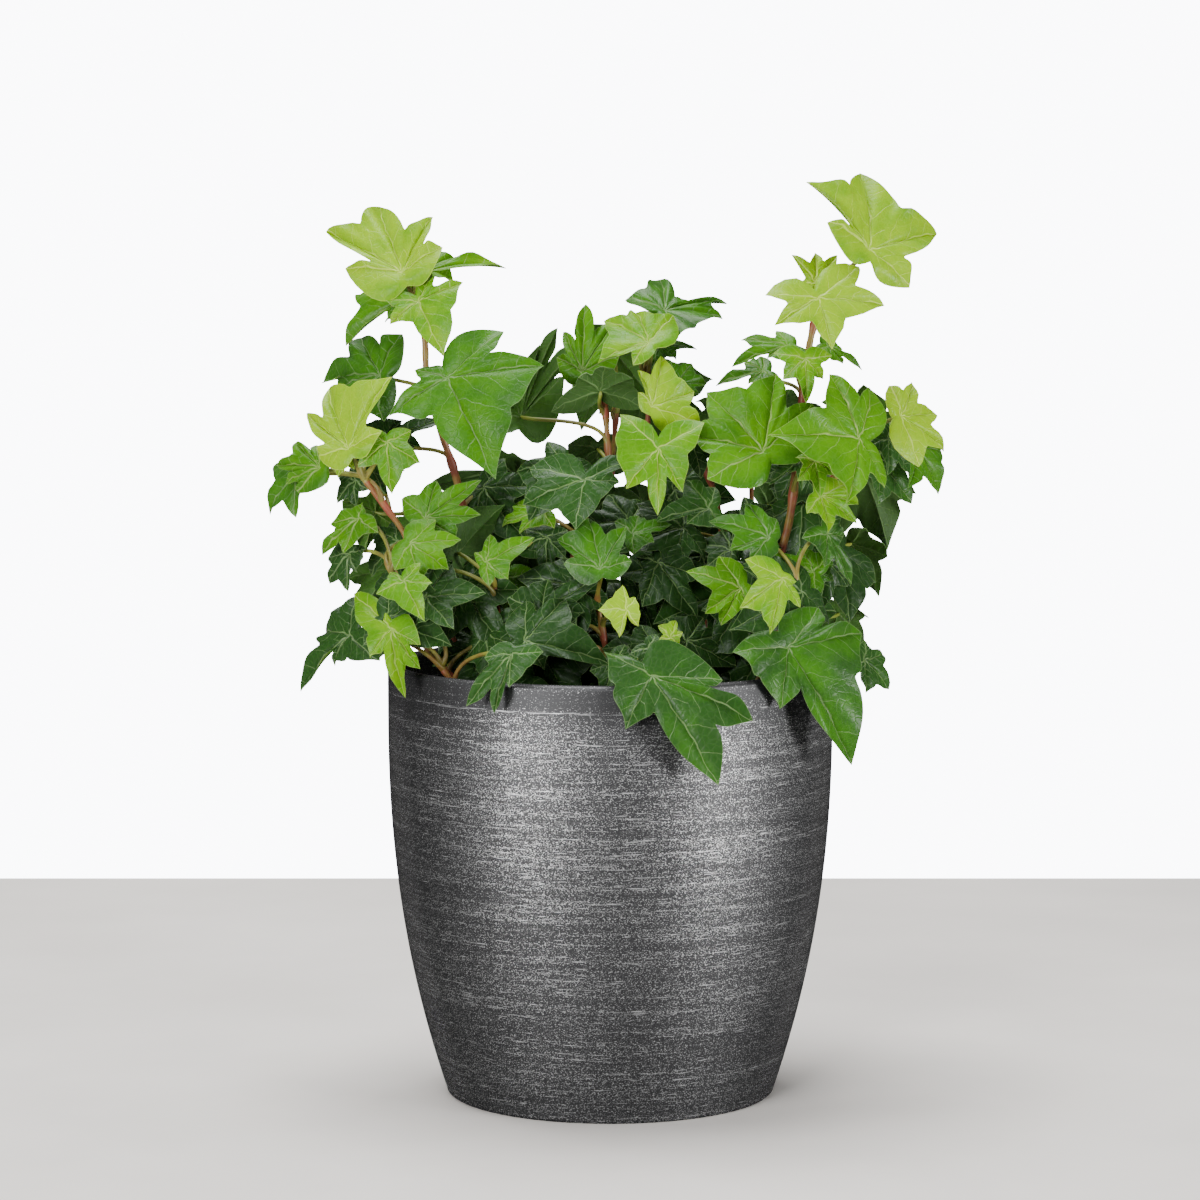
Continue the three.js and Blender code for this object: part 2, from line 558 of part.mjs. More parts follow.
/** The set leaves close enough to a leaf at a depth to be worth testing. */
function neighbours(placed, settled) {
  return settled.filter((other) =>
    other.junction.distanceTo(placed.junction) < placed.span + other.span + CLEARANCE);
}

/** Whether a blade is clear of the stems and of the blades and petioles set before it. */
function bladeClear(placed, settled, stems) {
  const edges = edgesOf(placed);
  const fan = fanOf(placed);
  if (stems.some((stem) => meets(stem.segments, fan, stem.radius + STEM_CLEARANCE))) return false;
  if (settled.some((other) => meets(other.petiole, fan))) return false;
  return !neighbours(placed, settled).some((other) => meets(edges, other.fan) || meets(other.edges, fan));
}

/** The first petiole route that is clear of what is set, or none. */
function clearPetiole(placed, own, settled, stems) {
  const foot = petioleFoot(own.curve, placed.junction);
  for (const bow of BOWS) {
    const curve = petioleCurve(placed, foot, bow);
    const run = segmentsOf(curve, PETIOLE_STEPS);
    const others = stems.filter((stem) => stem !== own);
    const clear = !settled.some((other) => meets(run, other.fan))
      && !others.some((stem) => near(run, stem.segments, stem.radius + PETIOLE_RADIUS + CLEARANCE))
      && !settled.some((other) => other.own !== own && near(run, other.petiole, PETIOLE_CLEARANCE));
    if (clear) return { curve, run };
  }
  return null;
}

/** Sets one leaf: it steps back and forth in depth until its blade and its petiole are clear. */
function settle({ row, own }, settled, stems) {
  for (let step = 0; step < STEP_COUNT; step += 1) {
    const away = Math.ceil(step / 2) * (step % 2 === 1 ? 1 : -1) * STEP_BACK;
    const placed = placedLeaf(row, row.depth + away);
    if (bladeClear(placed, settled, stems)) {
      const petiole = clearPetiole(placed, own, settled, stems);
      if (petiole) {
        const shape = { fan: fanOf(placed), edges: edgesOf(placed) };
        settled.push({ ...placed, ...shape, own, curve: petiole.curve, petiole: petiole.run });
        return;
      }
    }
  }
  throw new Error(`no clear place for the leaf of ${own.name} at ${row.x}, ${row.z}`);
}

/** The leaves of a far stem, facing away, with a seeded size, heading and age at each spot. */
function farLeaves(stem, random) {
  return stem.spots.map(([x, z, depth]) => {
    const length = FAR_LEAF.shortest + random() * (FAR_LEAF.longest - FAR_LEAF.shortest);
    const heading = radians(180 + (random() - 0.5) * FAR_LEAF.turn);
    const age = FAR_LEAF.youngest + random() * (1 - FAR_LEAF.youngest);
    const right = (random() - 0.5) * FAR_LEAF.facingRight;
    const across = FAR_LEAF_FALL.across * length * Math.sin(heading);
    const down = FAR_LEAF_FALL.down * length * Math.cos(heading);
    return turned(x, z, depth, right, FAR_LEAF.facingUp, age, [x + across, z + down]);
  });
}

// --- Solids --------------------------------------------------------------------------------------

/** A geometry as a solid that can be joined and cut. */
function solid(geometry) {
  geometry.deleteAttribute('normal');
  geometry.deleteAttribute('uv');
  const merged = mergeVertices(geometry, 1e-4);
  const index = Array.from(merged.index.array);
  const kept = [];
  for (let i = 0; i < index.length; i += 3) {
    const [a, b, c] = index.slice(i, i + 3);
    if (a !== b && b !== c && a !== c) kept.push(a, b, c);
  }
  const vertProperties = new Float32Array(merged.attributes.position.array);
  const mesh = new wasm.Mesh({ numProp: 3, vertProperties, triVerts: new Uint32Array(kept) });
  return new wasm.Manifold(mesh);
}

/** A named mesh from a solid. */
function meshOf(name, body, finish) {
  const { vertProperties, triVerts } = body.getMesh();
  const geometry = new THREE.BufferGeometry();
  geometry.setAttribute('position', new THREE.BufferAttribute(new Float32Array(vertProperties), 3));
  geometry.setIndex(new THREE.BufferAttribute(new Uint32Array(triVerts), 1));
  geometry.computeVertexNormals();
  const mesh = new THREE.Mesh(geometry, new THREE.MeshStandardMaterial(finish));
  mesh.name = name;
  return mesh;
}

/** A turned solid from a closed half profile of [radius, height] points. */
function turnedSolid(profile, sides) {
  const points = profile.map(([radius, height]) => new THREE.Vector2(radius, height));
  const geometry = new THREE.LatheGeometry(points, sides);
  geometry.rotateX(Math.PI / 2);
  return solid(geometry);
}

// --- Pots and soil -------------------------------------------------------------------------------

/** The cover pot's outer radius at a height: straight at the top, curving in to the foot. */
function potRadius(height) {
  const share = Math.max(0, 1 - height / POT_SHOULDER);
  return POT_RIM_RADIUS - (POT_RIM_RADIUS - POT_FOOT_RADIUS) * share ** POT_TAPER_POWER;
}

/** The cover pot: outer wall, round lip, inner wall and floor. */
function planter() {
  const outer = [0.8, 10, 24, 42, 62, 88, 118].map((height) => [potRadius(height), height]);
  const inner = [118, 80, 50, 28, POT_FLOOR + 2].map((height) => [potRadius(height) - POT_WALL, height]);
  const inside = POT_RIM_RADIUS - POT_WALL;
  const lip = [
    [POT_RIM_RADIUS, POT_HEIGHT - POT_LIP_RADIUS], [POT_RIM_RADIUS - 0.6, POT_HEIGHT - 0.4],
    [inside + POT_WALL / 2, POT_HEIGHT],
    [inside + 0.6, POT_HEIGHT - 0.4], [inside, POT_HEIGHT - POT_LIP_RADIUS],
  ];
  const foot = [[0, 0], [POT_FOOT_RADIUS - 1.2, 0]];
  const floor = [[potRadius(POT_FLOOR) - POT_WALL - 3, POT_FLOOR], [0, POT_FLOOR]];
  const profile = [...foot, ...outer, ...lip, ...inner, ...floor];
  return meshOf('planter', turnedSolid(profile, POT_SIDES), CHARCOAL);
}

/** The grower's pot's outer radius at a height. */
function growerRadius(height) {
  const share = (height - POT_FLOOR) / (GROWER_TOP - POT_FLOOR);
  return GROWER_FOOT_RADIUS + (GROWER_RIM_RADIUS - 1.5 - GROWER_FOOT_RADIUS) * share;
}

/** The thin grower's pot inside, with a rolled rim and drain holes. */
function growerPot() {
  const bottom = POT_FLOOR + GAP;
  const ledge = GROWER_TOP - GROWER_RIM_HEIGHT;
  const profile = [
    [0, bottom], [GROWER_FOOT_RADIUS, bottom], [growerRadius(ledge), ledge],
    [GROWER_RIM_RADIUS, ledge], [GROWER_RIM_RADIUS, GROWER_TOP],
    [growerRadius(GROWER_TOP) - GROWER_WALL, GROWER_TOP],
    [GROWER_FOOT_RADIUS - GROWER_WALL, bottom + GROWER_WALL], [0, bottom + GROWER_WALL],
  ];
  let body = turnedSolid(profile, GROWER_SIDES);
  for (let i = 0; i < DRAIN_COUNT; i += 1) {
    const angle = (2 * Math.PI * i) / DRAIN_COUNT;
    body = body.subtract(uprightPeg(
      DRAIN_CIRCLE * Math.cos(angle), DRAIN_CIRCLE * Math.sin(angle), DRAIN_RADIUS, 0, bottom + 5));
  }
  return meshOf('nursery_pot', body, BLACK_PLASTIC);
}

/** An upright round peg between two heights, for cutting a hole. */
function uprightPeg(x, y, radius, bottom, top) {
  const geometry = new THREE.CylinderGeometry(radius, radius, top - bottom, 8);
  geometry.rotateX(Math.PI / 2);
  geometry.translate(x, y, (bottom + top) / 2);
  return solid(geometry);
}

/** The soil, gently mounded, with a plain hole for each stem. */
function soil(stems) {
  const bottom = POT_FLOOR + GROWER_WALL + 2 * GAP;
  const inset = GROWER_WALL + GAP + 0.4;
  const profile = [
    [0, bottom], [growerRadius(bottom) - inset, bottom],
    [growerRadius(SOIL_TOP - 2) - inset, SOIL_TOP - 2],
    [42, SOIL_TOP], [20, SOIL_TOP + 0.8], [0, SOIL_TOP + 1],
  ];
  let body = turnedSolid(profile, SOIL_SIDES);
  for (const stem of stems) {
    const [x, y] = stem.route[0];
    body = body.subtract(uprightPeg(x, y, HOLE_RADIUS, HOLE_FLOOR, SOIL_TOP + 5));
  }
  return meshOf('soil', body, PEAT);
}

// --- Assembly ------------------------------------------------------------------------------------

/** A leafy stem as one solid: the stem with each petiole and blade fused on. */
function leafyStem(stem, leaves) {
  const bar = barGeometry(stem.curve, stem.radius, STEM_SIDES, stemSteps(stem.curve));
  const pieces = [solid(bar)];
  for (const placed of leaves) {
    pieces.push(solid(barGeometry(placed.curve, PETIOLE_RADIUS, PETIOLE_SIDES, PETIOLE_STEPS)));
    pieces.push(solid(bladeGeometry(placed)));
  }
  return meshOf(stem.name, largestBody(wasm.Manifold.union(pieces)), LEAF_GREEN);
}

/** The main body of a fused solid, without loose scraps and with its sealed hollows filled. */
function largestBody(fused) {
  return fused.decompose().reduce((best, body) => (body.volume() > best.volume() ? body : best));
}

/** Every stem with its curve and its leaf rows, near and far. */
function gatherStems() {
  const random = randomFrom(SEED);
  const far = FAR_STEMS.map((stem) => ({ ...stem, leaves: farLeaves(stem, random) }));
  return [...STEMS, ...far].map((stem) => {
    const curve = stemCurve(stem);
    return { ...stem, curve, segments: segmentsOf(curve, stemSteps(curve)) };
  });
}

/** Sets every leaf, nearest the front first. */
function settleLeaves(stems) {
  const waiting = stems.flatMap((own) => own.leaves.map((row) => ({ row, own })));
  waiting.sort((a, b) => a.row.depth - b.row.depth);
  const settled = [];
  for (const item of waiting) settle(item, settled, stems);
  return settled;
}

const stems = gatherStems();
const settled = settleLeaves(stems);
const pottedIvy = new THREE.Group();
pottedIvy.add(planter(), growerPot(), soil(stems));
for (const stem of stems) {
  pottedIvy.add(leafyStem(stem, settled.filter((placed) => placed.own === stem)));
}

export default pottedIvy;
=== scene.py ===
"""A potted ivy: leafy stems of common ivy in peat, in a black grower's pot, in a charcoal cover pot.

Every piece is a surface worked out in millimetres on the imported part's own axes: +Z up, origin on the
pot's axis at the table, and the front of the plant towards -Y. Meshes are stored in metres.
"""

import logging
import math
from dataclasses import dataclass, field, replace
from enum import Enum
from functools import partial
from typing import Callable, Optional, Sequence, Union

import bpy
import numpy as np
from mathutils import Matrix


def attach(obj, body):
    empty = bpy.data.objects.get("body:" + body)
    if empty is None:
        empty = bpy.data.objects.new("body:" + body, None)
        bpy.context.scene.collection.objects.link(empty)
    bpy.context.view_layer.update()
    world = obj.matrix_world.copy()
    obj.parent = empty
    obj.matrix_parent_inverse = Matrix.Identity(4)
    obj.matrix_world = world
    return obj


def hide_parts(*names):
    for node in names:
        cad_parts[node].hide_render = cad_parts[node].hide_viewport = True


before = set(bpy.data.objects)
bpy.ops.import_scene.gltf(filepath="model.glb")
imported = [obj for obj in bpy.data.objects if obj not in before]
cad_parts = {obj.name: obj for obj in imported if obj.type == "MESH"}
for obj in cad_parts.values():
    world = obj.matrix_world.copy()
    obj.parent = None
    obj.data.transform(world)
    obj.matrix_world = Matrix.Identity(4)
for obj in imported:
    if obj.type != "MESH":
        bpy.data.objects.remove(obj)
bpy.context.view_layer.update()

log = logging.getLogger("potted_ivy")

MM = 0.001
BODY = "root"
TONES = "growth"  # the colour attribute that holds what varies over a piece

Array = np.ndarray
Numbers = np.random.Generator
Span = tuple[float, float]
Material = bpy.types.Material
Node = bpy.types.Node
Socket = bpy.types.NodeSocket
Input = Union[float, Sequence[float], Node, Socket]
Inputs = Union[Sequence[Input], dict[Union[int, str], Input]]
Adder = Callable[..., Node]  # add_node, bound to a material's tree


# --- Numbers and vectors ---


def unit(vectors: Array) -> Array:
    """Vectors along the last axis, each divided by its length."""
    return vectors / np.linalg.norm(vectors, axis=-1, keepdims=True)


def smooth_step(low: float, high: float, value: Array) -> Array:
    """Three times the square less twice the cube of the share of the way from low to high."""
    share = np.clip((value - low) / (high - low), 0.0, 1.0)
    return share * share * (3.0 - 2.0 * share)


def bezier(controls: Array, shares: Array) -> Array:
    """Cubic Bezier points: each of four controls weighted by its Bernstein polynomial of the share.

    Args:
        controls: Four control points for each curve, shaped (..., 4, dimensions).
        shares: Places along the curves, from 0 to 1.

    Returns:
        Points shaped (..., shares, dimensions).
    """
    s = shares[:, None]
    rest = 1.0 - s
    weights = np.concatenate([rest**3, 3 * s * rest**2, 3 * s**2 * rest, s**3], axis=1)
    return np.einsum("sk,...kd->...sd", weights, controls)


def catmull_rom(points: Array, shares: Array) -> Array:
    """Points on a uniform Catmull-Rom curve: a cubic in each span whose end slopes are half the chord
    between the neighbours on either side, with a mirrored point past each end.

    Args:
        points: The points that the curve passes through, shaped (count, 3).
        shares: Places along the whole curve, from 0 to 1, even in spans.

    Returns:
        Points shaped (shares, 3).
    """
    padded = np.vstack([2 * points[0] - points[1], points, 2 * points[-1] - points[-2]])
    place = shares * (len(points) - 1)
    span = np.minimum(place.astype(int), len(points) - 2)
    w = (place - span)[:, None]
    before, start, end, after = (padded[span + k] for k in range(4))
    slope_in = 0.5 * (end - before)
    slope_out = 0.5 * (after - start)
    cubic = 2 * start - 2 * end + slope_in + slope_out
    square = -3 * start + 3 * end - 2 * slope_in - slope_out
    return cubic * w**3 + square * w**2 + slope_in * w + start


def steps_along(points: Array) -> Array:
    """The length of each step from one point of a line to the next."""
    return np.linalg.norm(np.diff(points, axis=0), axis=1)


def travelled_along(points: Array) -> Array:
    """The way travelled to each point of a line from its start."""
    return np.concatenate([[0.0], np.cumsum(steps_along(points))])


def evenly_spaced(points: Array, count: int) -> Array:
    """The points of a line at even steps of its length, joined straight between the given ones."""
    travelled = travelled_along(points)
    wanted = np.linspace(0.0, travelled[-1], count)
    return np.stack([np.interp(wanted, travelled, points[:, k]) for k in range(3)], axis=1)


# --- Meshes ---


def stood(name: str, data: bpy.types.ID) -> bpy.types.Object:
    """A new object at the origin that shows data, linked into the scene."""
    holder = bpy.data.objects.new(name, data)
    bpy.context.scene.collection.objects.link(holder)
    return holder


@dataclass
class Surface:
    """Corner points and faces of one closed surface, with what its corners and points carry."""

    points: Array
    quads: Array
    triangles: Array = field(default_factory=lambda: np.empty((0, 3), int))
    maps: dict[str, Array] = field(default_factory=dict)
    tones: Optional[Array] = None

    @staticmethod
    def joined(surfaces: "Sequence[Surface]") -> "Surface":
        """One surface of several, side by side, with their maps and tones.

        Args:
            surfaces: Surfaces with the same maps. A map lists its quads' corners and then its triangles'.

        Returns:
            A surface that holds them all.
        """
        starts = np.cumsum([0] + [len(s.points) for s in surfaces[:-1]])
        maps = {}
        for name in surfaces[0].maps:
            split = [np.split(s.maps[name], [s.quads.size]) for s in surfaces]
            maps[name] = np.concatenate([part[0] for part in split] + [part[1] for part in split])
        tones = None if surfaces[0].tones is None else np.concatenate([s.tones for s in surfaces])
        return Surface(
            np.concatenate([s.points for s in surfaces]),
            np.concatenate([s.quads + start for s, start in zip(surfaces, starts)]),
            np.concatenate([s.triangles + start for s, start in zip(surfaces, starts)]),
            maps,
            tones,
        )

    def to_object(self, name: str, crease: float = 50.0) -> bpy.types.Object:
        """Makes the surface a Blender object at the origin.

        Args:
            name: The object's name.
            crease: Faces that meet at more than this angle, in degrees, have a sharp edge between them.

        Returns:
            The new object, linked into the scene.
        """
        corners = np.concatenate([self.quads.ravel(), self.triangles.ravel()])
        sizes = np.concatenate([np.full(len(self.quads), 4), np.full(len(self.triangles), 3)])
        mesh = bpy.data.meshes.new(name)
        mesh.vertices.add(len(self.points))
        mesh.vertices.foreach_set("co", (self.points * MM).astype(np.float32).ravel())
        mesh.loops.add(len(corners))
        mesh.loops.foreach_set("vertex_index", corners.astype(np.int32))
        mesh.polygons.add(len(sizes))
        mesh.polygons.foreach_set("loop_start", (np.cumsum(sizes) - sizes).astype(np.int32))
        for map_name, places in self.maps.items():
            layer = mesh.uv_layers.new(name=map_name)
            layer.uv.foreach_set("vector", places.astype(np.float32).ravel())
        if self.tones is not None:
            attribute = mesh.attributes.new(TONES, "FLOAT_COLOR", "POINT")
            colours = np.hstack([self.tones, np.ones((len(self.tones), 1))])
            attribute.data.foreach_set("color", colours.astype(np.float32).ravel())
        mesh.update(calc_edges=True)
        mesh.validate()
        mesh.polygons.foreach_set("use_smooth", np.ones(len(sizes), bool))
        mesh.set_sharp_from_angle(angle=math.radians(crease))
        return stood(name, mesh)


def ring_quads(rings: int, around: int) -> Array:
    """Faces of a closed grid: each corner, the next one round, and the same two in the next ring."""
    ring, place = np.meshgrid(np.arange(rings - 1), np.arange(around), indexing="ij")
    following = (place + 1) % around
    low = ring * around
    high = low + around
    return np.stack([low + place, low + following, high + following, high + place], axis=-1).reshape(-1, 4)


def end_fans(rings: int, around: int, start: int, end: int) -> Array:
    """Triangles that close the two ends of a grid.

    Args:
        rings: The number of rings.
        around: The number of points round each.
        start: The number of the point that the first ring is joined to.
        end: The number of the point that the last ring is joined to.

    Returns:
        The triangles, those of the start first.
    """
    place = np.arange(around)
    following = (place + 1) % around
    base = (rings - 1) * around
    first = np.stack([np.full(around, start), following, place], axis=1)
    last = np.stack([np.full(around, end), base + place, base + following], axis=1)
    return np.vstack([first, last])


def turned_surface(profile: Array, around: int) -> Surface:
    """A closed turned shape: every profile point at its radius times the cosine and sine of each angle.

    Args:
        profile: Half profile of (radius, height) from the axis, round the outside, back to the axis.
        around: The number of facets round the axis.

    Returns:
        The surface, with a point at each end on the axis.
    """
    angles = np.linspace(0.0, 2 * np.pi, around, endpoint=False) - np.pi / 2
    radius = profile[1:-1, :1]
    heights = np.repeat(profile[1:-1, 1:], around, axis=1)
    rings = np.stack([radius * np.cos(angles), radius * np.sin(angles), heights], axis=-1)
    start, end = (np.array([[0.0, 0.0, profile[k, 1]]]) for k in (0, -1))
    points = np.vstack([start, rings.reshape(-1, 3), end])
    count = len(profile) - 2
    fans = end_fans(count, around, -1, count * around)
    return Surface(points, ring_quads(count, around) + 1, fans + 1)


# --- Finishes ---


def linear(hex_colour: str) -> tuple[float, float, float, float]:
    """The scene's linear colour for an sRGB hex value such as "#4C8F27"."""
    channels = [int(hex_colour[k : k + 2], 16) / 255 for k in (1, 3, 5)]
    return (*[c / 12.92 if c <= 0.04045 else ((c + 0.055) / 1.055) ** 2.4 for c in channels], 1.0)


def add_node(tree: bpy.types.NodeTree, kind: str, inputs: Inputs = (), **settings: object) -> Node:
    """Adds a node with its settings, values and links.

    Args:
        tree: The material's node tree.
        kind: The node's type without "ShaderNode", and the operation or data type if it has one, as in
            "Math ADD" or "Mix RGBA".
        inputs: For each input, in order or by number or name, its value, or the node or socket that
            feeds it.
        **settings: The node's other settings, such as uv_map="vein".

    Returns:
        The new node.
    """
    kind, _, choice = kind.partition(" ")
    node = tree.nodes.new("ShaderNode" + kind)
    if choice:
        setattr(node, "data_type" if kind == "Mix" else "operation", choice)
    for name, value in settings.items():
        setattr(node, name, value)
    for key, value in inputs.items() if isinstance(inputs, dict) else enumerate(inputs):
        if isinstance(value, Node):
            value = value.outputs[0]
        if isinstance(value, Socket):
            tree.links.new(value, node.inputs[key])
        else:
            node.inputs[key].default_value = value
    return node


def new_finish(name: str) -> tuple[Material, Adder]:
    """An empty node material of that name, and what adds nodes to it."""
    material = bpy.data.materials.new(name)
    material.use_nodes = True
    material.node_tree.nodes.clear()
    return material, partial(add_node, material.node_tree)


def finish_with(add: Adder, look: Inputs) -> None:
    """Makes the principled shader of that look the material's surface."""
    add("OutputMaterial", [add("BsdfPrincipled", look)])


@dataclass(frozen=True)
class CharcoalGlaze:
    """Fired ceramic with a charcoal glaze full of metal flake, dry-brushed round with silver paint. The
    eye sees a dark satin pot, salted all over with silver grit and short dashes that light up where a
    lamp is mirrored."""

    glaze: str = "#505051"
    silver: str = "#E0E0E0"
    bright: str = "#F0F0F0"
    edge: str = "#484848"  # what the flakes mirror when seen along the wall
    glaze_roughness: float = 0.55
    silver_roughness: float = 0.42
    metallic: float = 0.95  # the share of bare metal flake, in the glaze as in the paint
    grit_mm: float = 0.42  # grains of the dry brush, a little coarser than real so that they show
    grit_height_mm: float = 0.27
    grit_power: float = 2.6  # how few of the grains are bright
    grit_span: Span = (-0.12, 0.2)  # how far above the level a grain begins and is full
    dash_mm: float = 6.0
    dash_height_mm: float = 0.24
    dash_span: Span = (0.13, 0.19)
    streak_mm: float = 40.0
    streak_height_mm: float = 0.55
    row_mm: float = 60.0
    row_height_mm: float = 2.4
    crowding: Span = (0.75, 1.25)  # sums of streak and row at which the level is
    levels: Span = (0.61, 0.495)  # this high, with few grains, and this low, with many
    clean_rim: Span = (0.122, 0.133)  # where the grit thins out below the rim, in metres
    clean_rise: float = 0.13  # how much the level rises there
    rim_line_height: float = 128.6
    rim_line_width: float = 0.42
    rim_line_kept: Span = (0.53, 0.6)  # levels of the dashes that break it and leave it
    rim_line_silver: float = 0.9
    relief_mm: float = 0.06
    shine: float = 0.12  # of the bare glaze between the flakes

    def material(self) -> Material:
        """Grains of noise above a level are silver, by a power that keeps few of them bright. The level
        falls in streaks and rows that run round the pot, so the grains crowd there, and a few long
        grains stand out as bright dashes."""
        material, add = new_finish("charcoal_glaze_brushed_silver")
        place = add("TexCoord").outputs["Object"]
        grains = self._noise(add, place, self.grit_mm, self.grit_height_mm, detail=0.0)
        dashes = self._noise(add, place, self.dash_mm, self.dash_height_mm, detail=1.0)
        streaks = self._noise(add, place, self.streak_mm, self.streak_height_mm, detail=2.0)
        rows = self._noise(add, place, self.row_mm, self.row_height_mm, detail=2.0)
        height = add("SeparateXYZ", [place]).outputs[2]
        low, high = self.clean_rim
        bare = add("MapRange", [height, low, high, 0.0, self.clean_rise])
        crowd = add("Math ADD", [streaks, rows])
        level = add("MapRange", [crowd, *self.crowding, *self.levels])
        level = add("Math ADD", [level, bare])
        excess = add("Math SUBTRACT", [grains, level])
        grit = add("MapRange", [excess, *self.grit_span])
        grit = add("Math POWER", [grit, self.grit_power])
        excess = add("Math SUBTRACT", [dashes, level])
        dash = add("MapRange", [excess, *self.dash_span])
        line = self._rim_line(add, height, dashes)
        dash = add("Math MAXIMUM", [dash, line])
        silver = add("Math MAXIMUM", [grit, dash])
        colour = add("Mix RGBA", {0: grit, 6: linear(self.glaze), 7: linear(self.silver)}).outputs[2]
        colour = add("Mix RGBA", {0: dash, 6: colour, 7: linear(self.bright)}).outputs[2]
        rough = add("MapRange", {0: silver, 3: self.glaze_roughness, 4: self.silver_roughness})
        relief = add("Math ADD", [silver, grains])
        bump = add("Bump", {"Height": relief, "Distance": self.relief_mm * MM, "Strength": 0.25})
        look = {"Base Color": colour, "Roughness": rough, "Metallic": self.metallic, "Normal": bump}
        look |= {"Specular IOR Level": self.shine, "Specular Tint": linear(self.edge)}
        finish_with(add, look)
        return material

    def _noise(self, add: Adder, place: Socket, size: float, rise: float, detail: float) -> Node:
        """Noise whose lumps measure size millimetres along the wall and rise millimetres upwards."""
        squeezed = add("Mapping", {0: place, "Scale": (1.0, 1.0, size / rise)})
        return add("TexNoise", {"Vector": squeezed, "Scale": 1 / (size * MM), "Detail": detail})

    def _rim_line(self, add: Adder, height: Socket, dashes: Node) -> Node:
        """A broken silver line that the brush left all round below the rim."""
        away = add("Math ABSOLUTE", [add("Math SUBTRACT", [height, self.rim_line_height * MM])])
        near = add("MapRange", [away, 0.0, self.rim_line_width * MM, 1.0, 0.0])
        kept = add("MapRange", [dashes, *self.rim_line_kept, 0.0, self.rim_line_silver])
        return add("Math MULTIPLY", [near, kept])


@dataclass(frozen=True)
class BlackPlastic:
    """Thin thermoformed polypropylene, black and slightly greasy. The eye sees a dark rim with a soft
    line of light along its roll."""

    colour: str = "#0E0E0F"
    dust: str = "#3A342D"
    roughness: float = 0.45
    dusty_roughness: float = 0.8
    grain_mm: float = 0.6
    dusting_mm: float = 9.0
    dusted: Span = (0.52, 0.75)  # levels of the noise at which dust begins and is thickest
    thickest: float = 0.45

    def material(self) -> Material:
        """Black with a faint dusting of dried peat by large noise, and a fine moulded grain."""
        material, add = new_finish("polypropylene_black_thermoformed")
        place = add("TexCoord").outputs["Object"]
        dusting = add("TexNoise", {"Vector": place, "Scale": 1 / (self.dusting_mm * MM), "Detail": 4.0})
        share = add("MapRange", [dusting, *self.dusted, 0.0, self.thickest])
        colour = add("Mix RGBA", {0: share, 6: linear(self.colour), 7: linear(self.dust)}).outputs[2]
        rough = add("MapRange", {0: share, 3: self.roughness, 4: self.dusty_roughness})
        grain = add("TexNoise", {"Vector": place, "Scale": 1 / (self.grain_mm * MM)})
        bump = add("Bump", {"Height": grain, "Distance": 0.04 * MM, "Strength": 0.4})
        look = {"Base Color": colour, "Roughness": rough, "Normal": bump, "IOR": 1.49}
        finish_with(add, look)
        return material


@dataclass(frozen=True)
class Peat:
    """Damp peat potting soil: crumbs and fibres. The eye sees a very dark brown, rough at every size."""

    dark: str = "#17100B"
    light: str = "#3F2C1E"
    crumb_mm: float = 2.4
    fibre_mm: float = 0.7
    relief_mm: float = 0.8
    hollow_shade: float = 0.7  # the distance from a crumb's middle, in crumbs, at which the soil's painted shade is darkest
    roughness: float = 0.92

    def material(self) -> Material:
        """Brown by crumb, darker in the hollows between crumbs by painted shade, with a bump of crumbs and
        fibres.
        """
        material, add = new_finish("peat_soil_damp")
        place = add("TexCoord").outputs["Object"]
        crumbs = add("TexVoronoi", {"Vector": place, "Scale": 1 / (self.crumb_mm * MM)})
        fibres = add("TexNoise", {"Vector": place, "Scale": 1 / (self.fibre_mm * MM), "Detail": 5.0})
        # painted shade: the colour falls to its darkest away from each crumb's middle, in the hollows
        # between crumbs; the fibres' tone is the soil's own
        hollow_shade = add("MapRange", [crumbs, 0.0, self.hollow_shade, 1.0, 0.0])
        mixed = add("Math MULTIPLY", [hollow_shade, fibres])
        colour = add("Mix RGBA", {0: mixed, 6: linear(self.dark), 7: linear(self.light)}).outputs[2]
        bump = add("Bump", {"Height": mixed, "Distance": self.relief_mm * MM, "Strength": 0.8})
        look = {"Base Color": colour, "Roughness": self.roughness, "Normal": bump, "IOR": 1.35}
        finish_with(add, look)
        return material


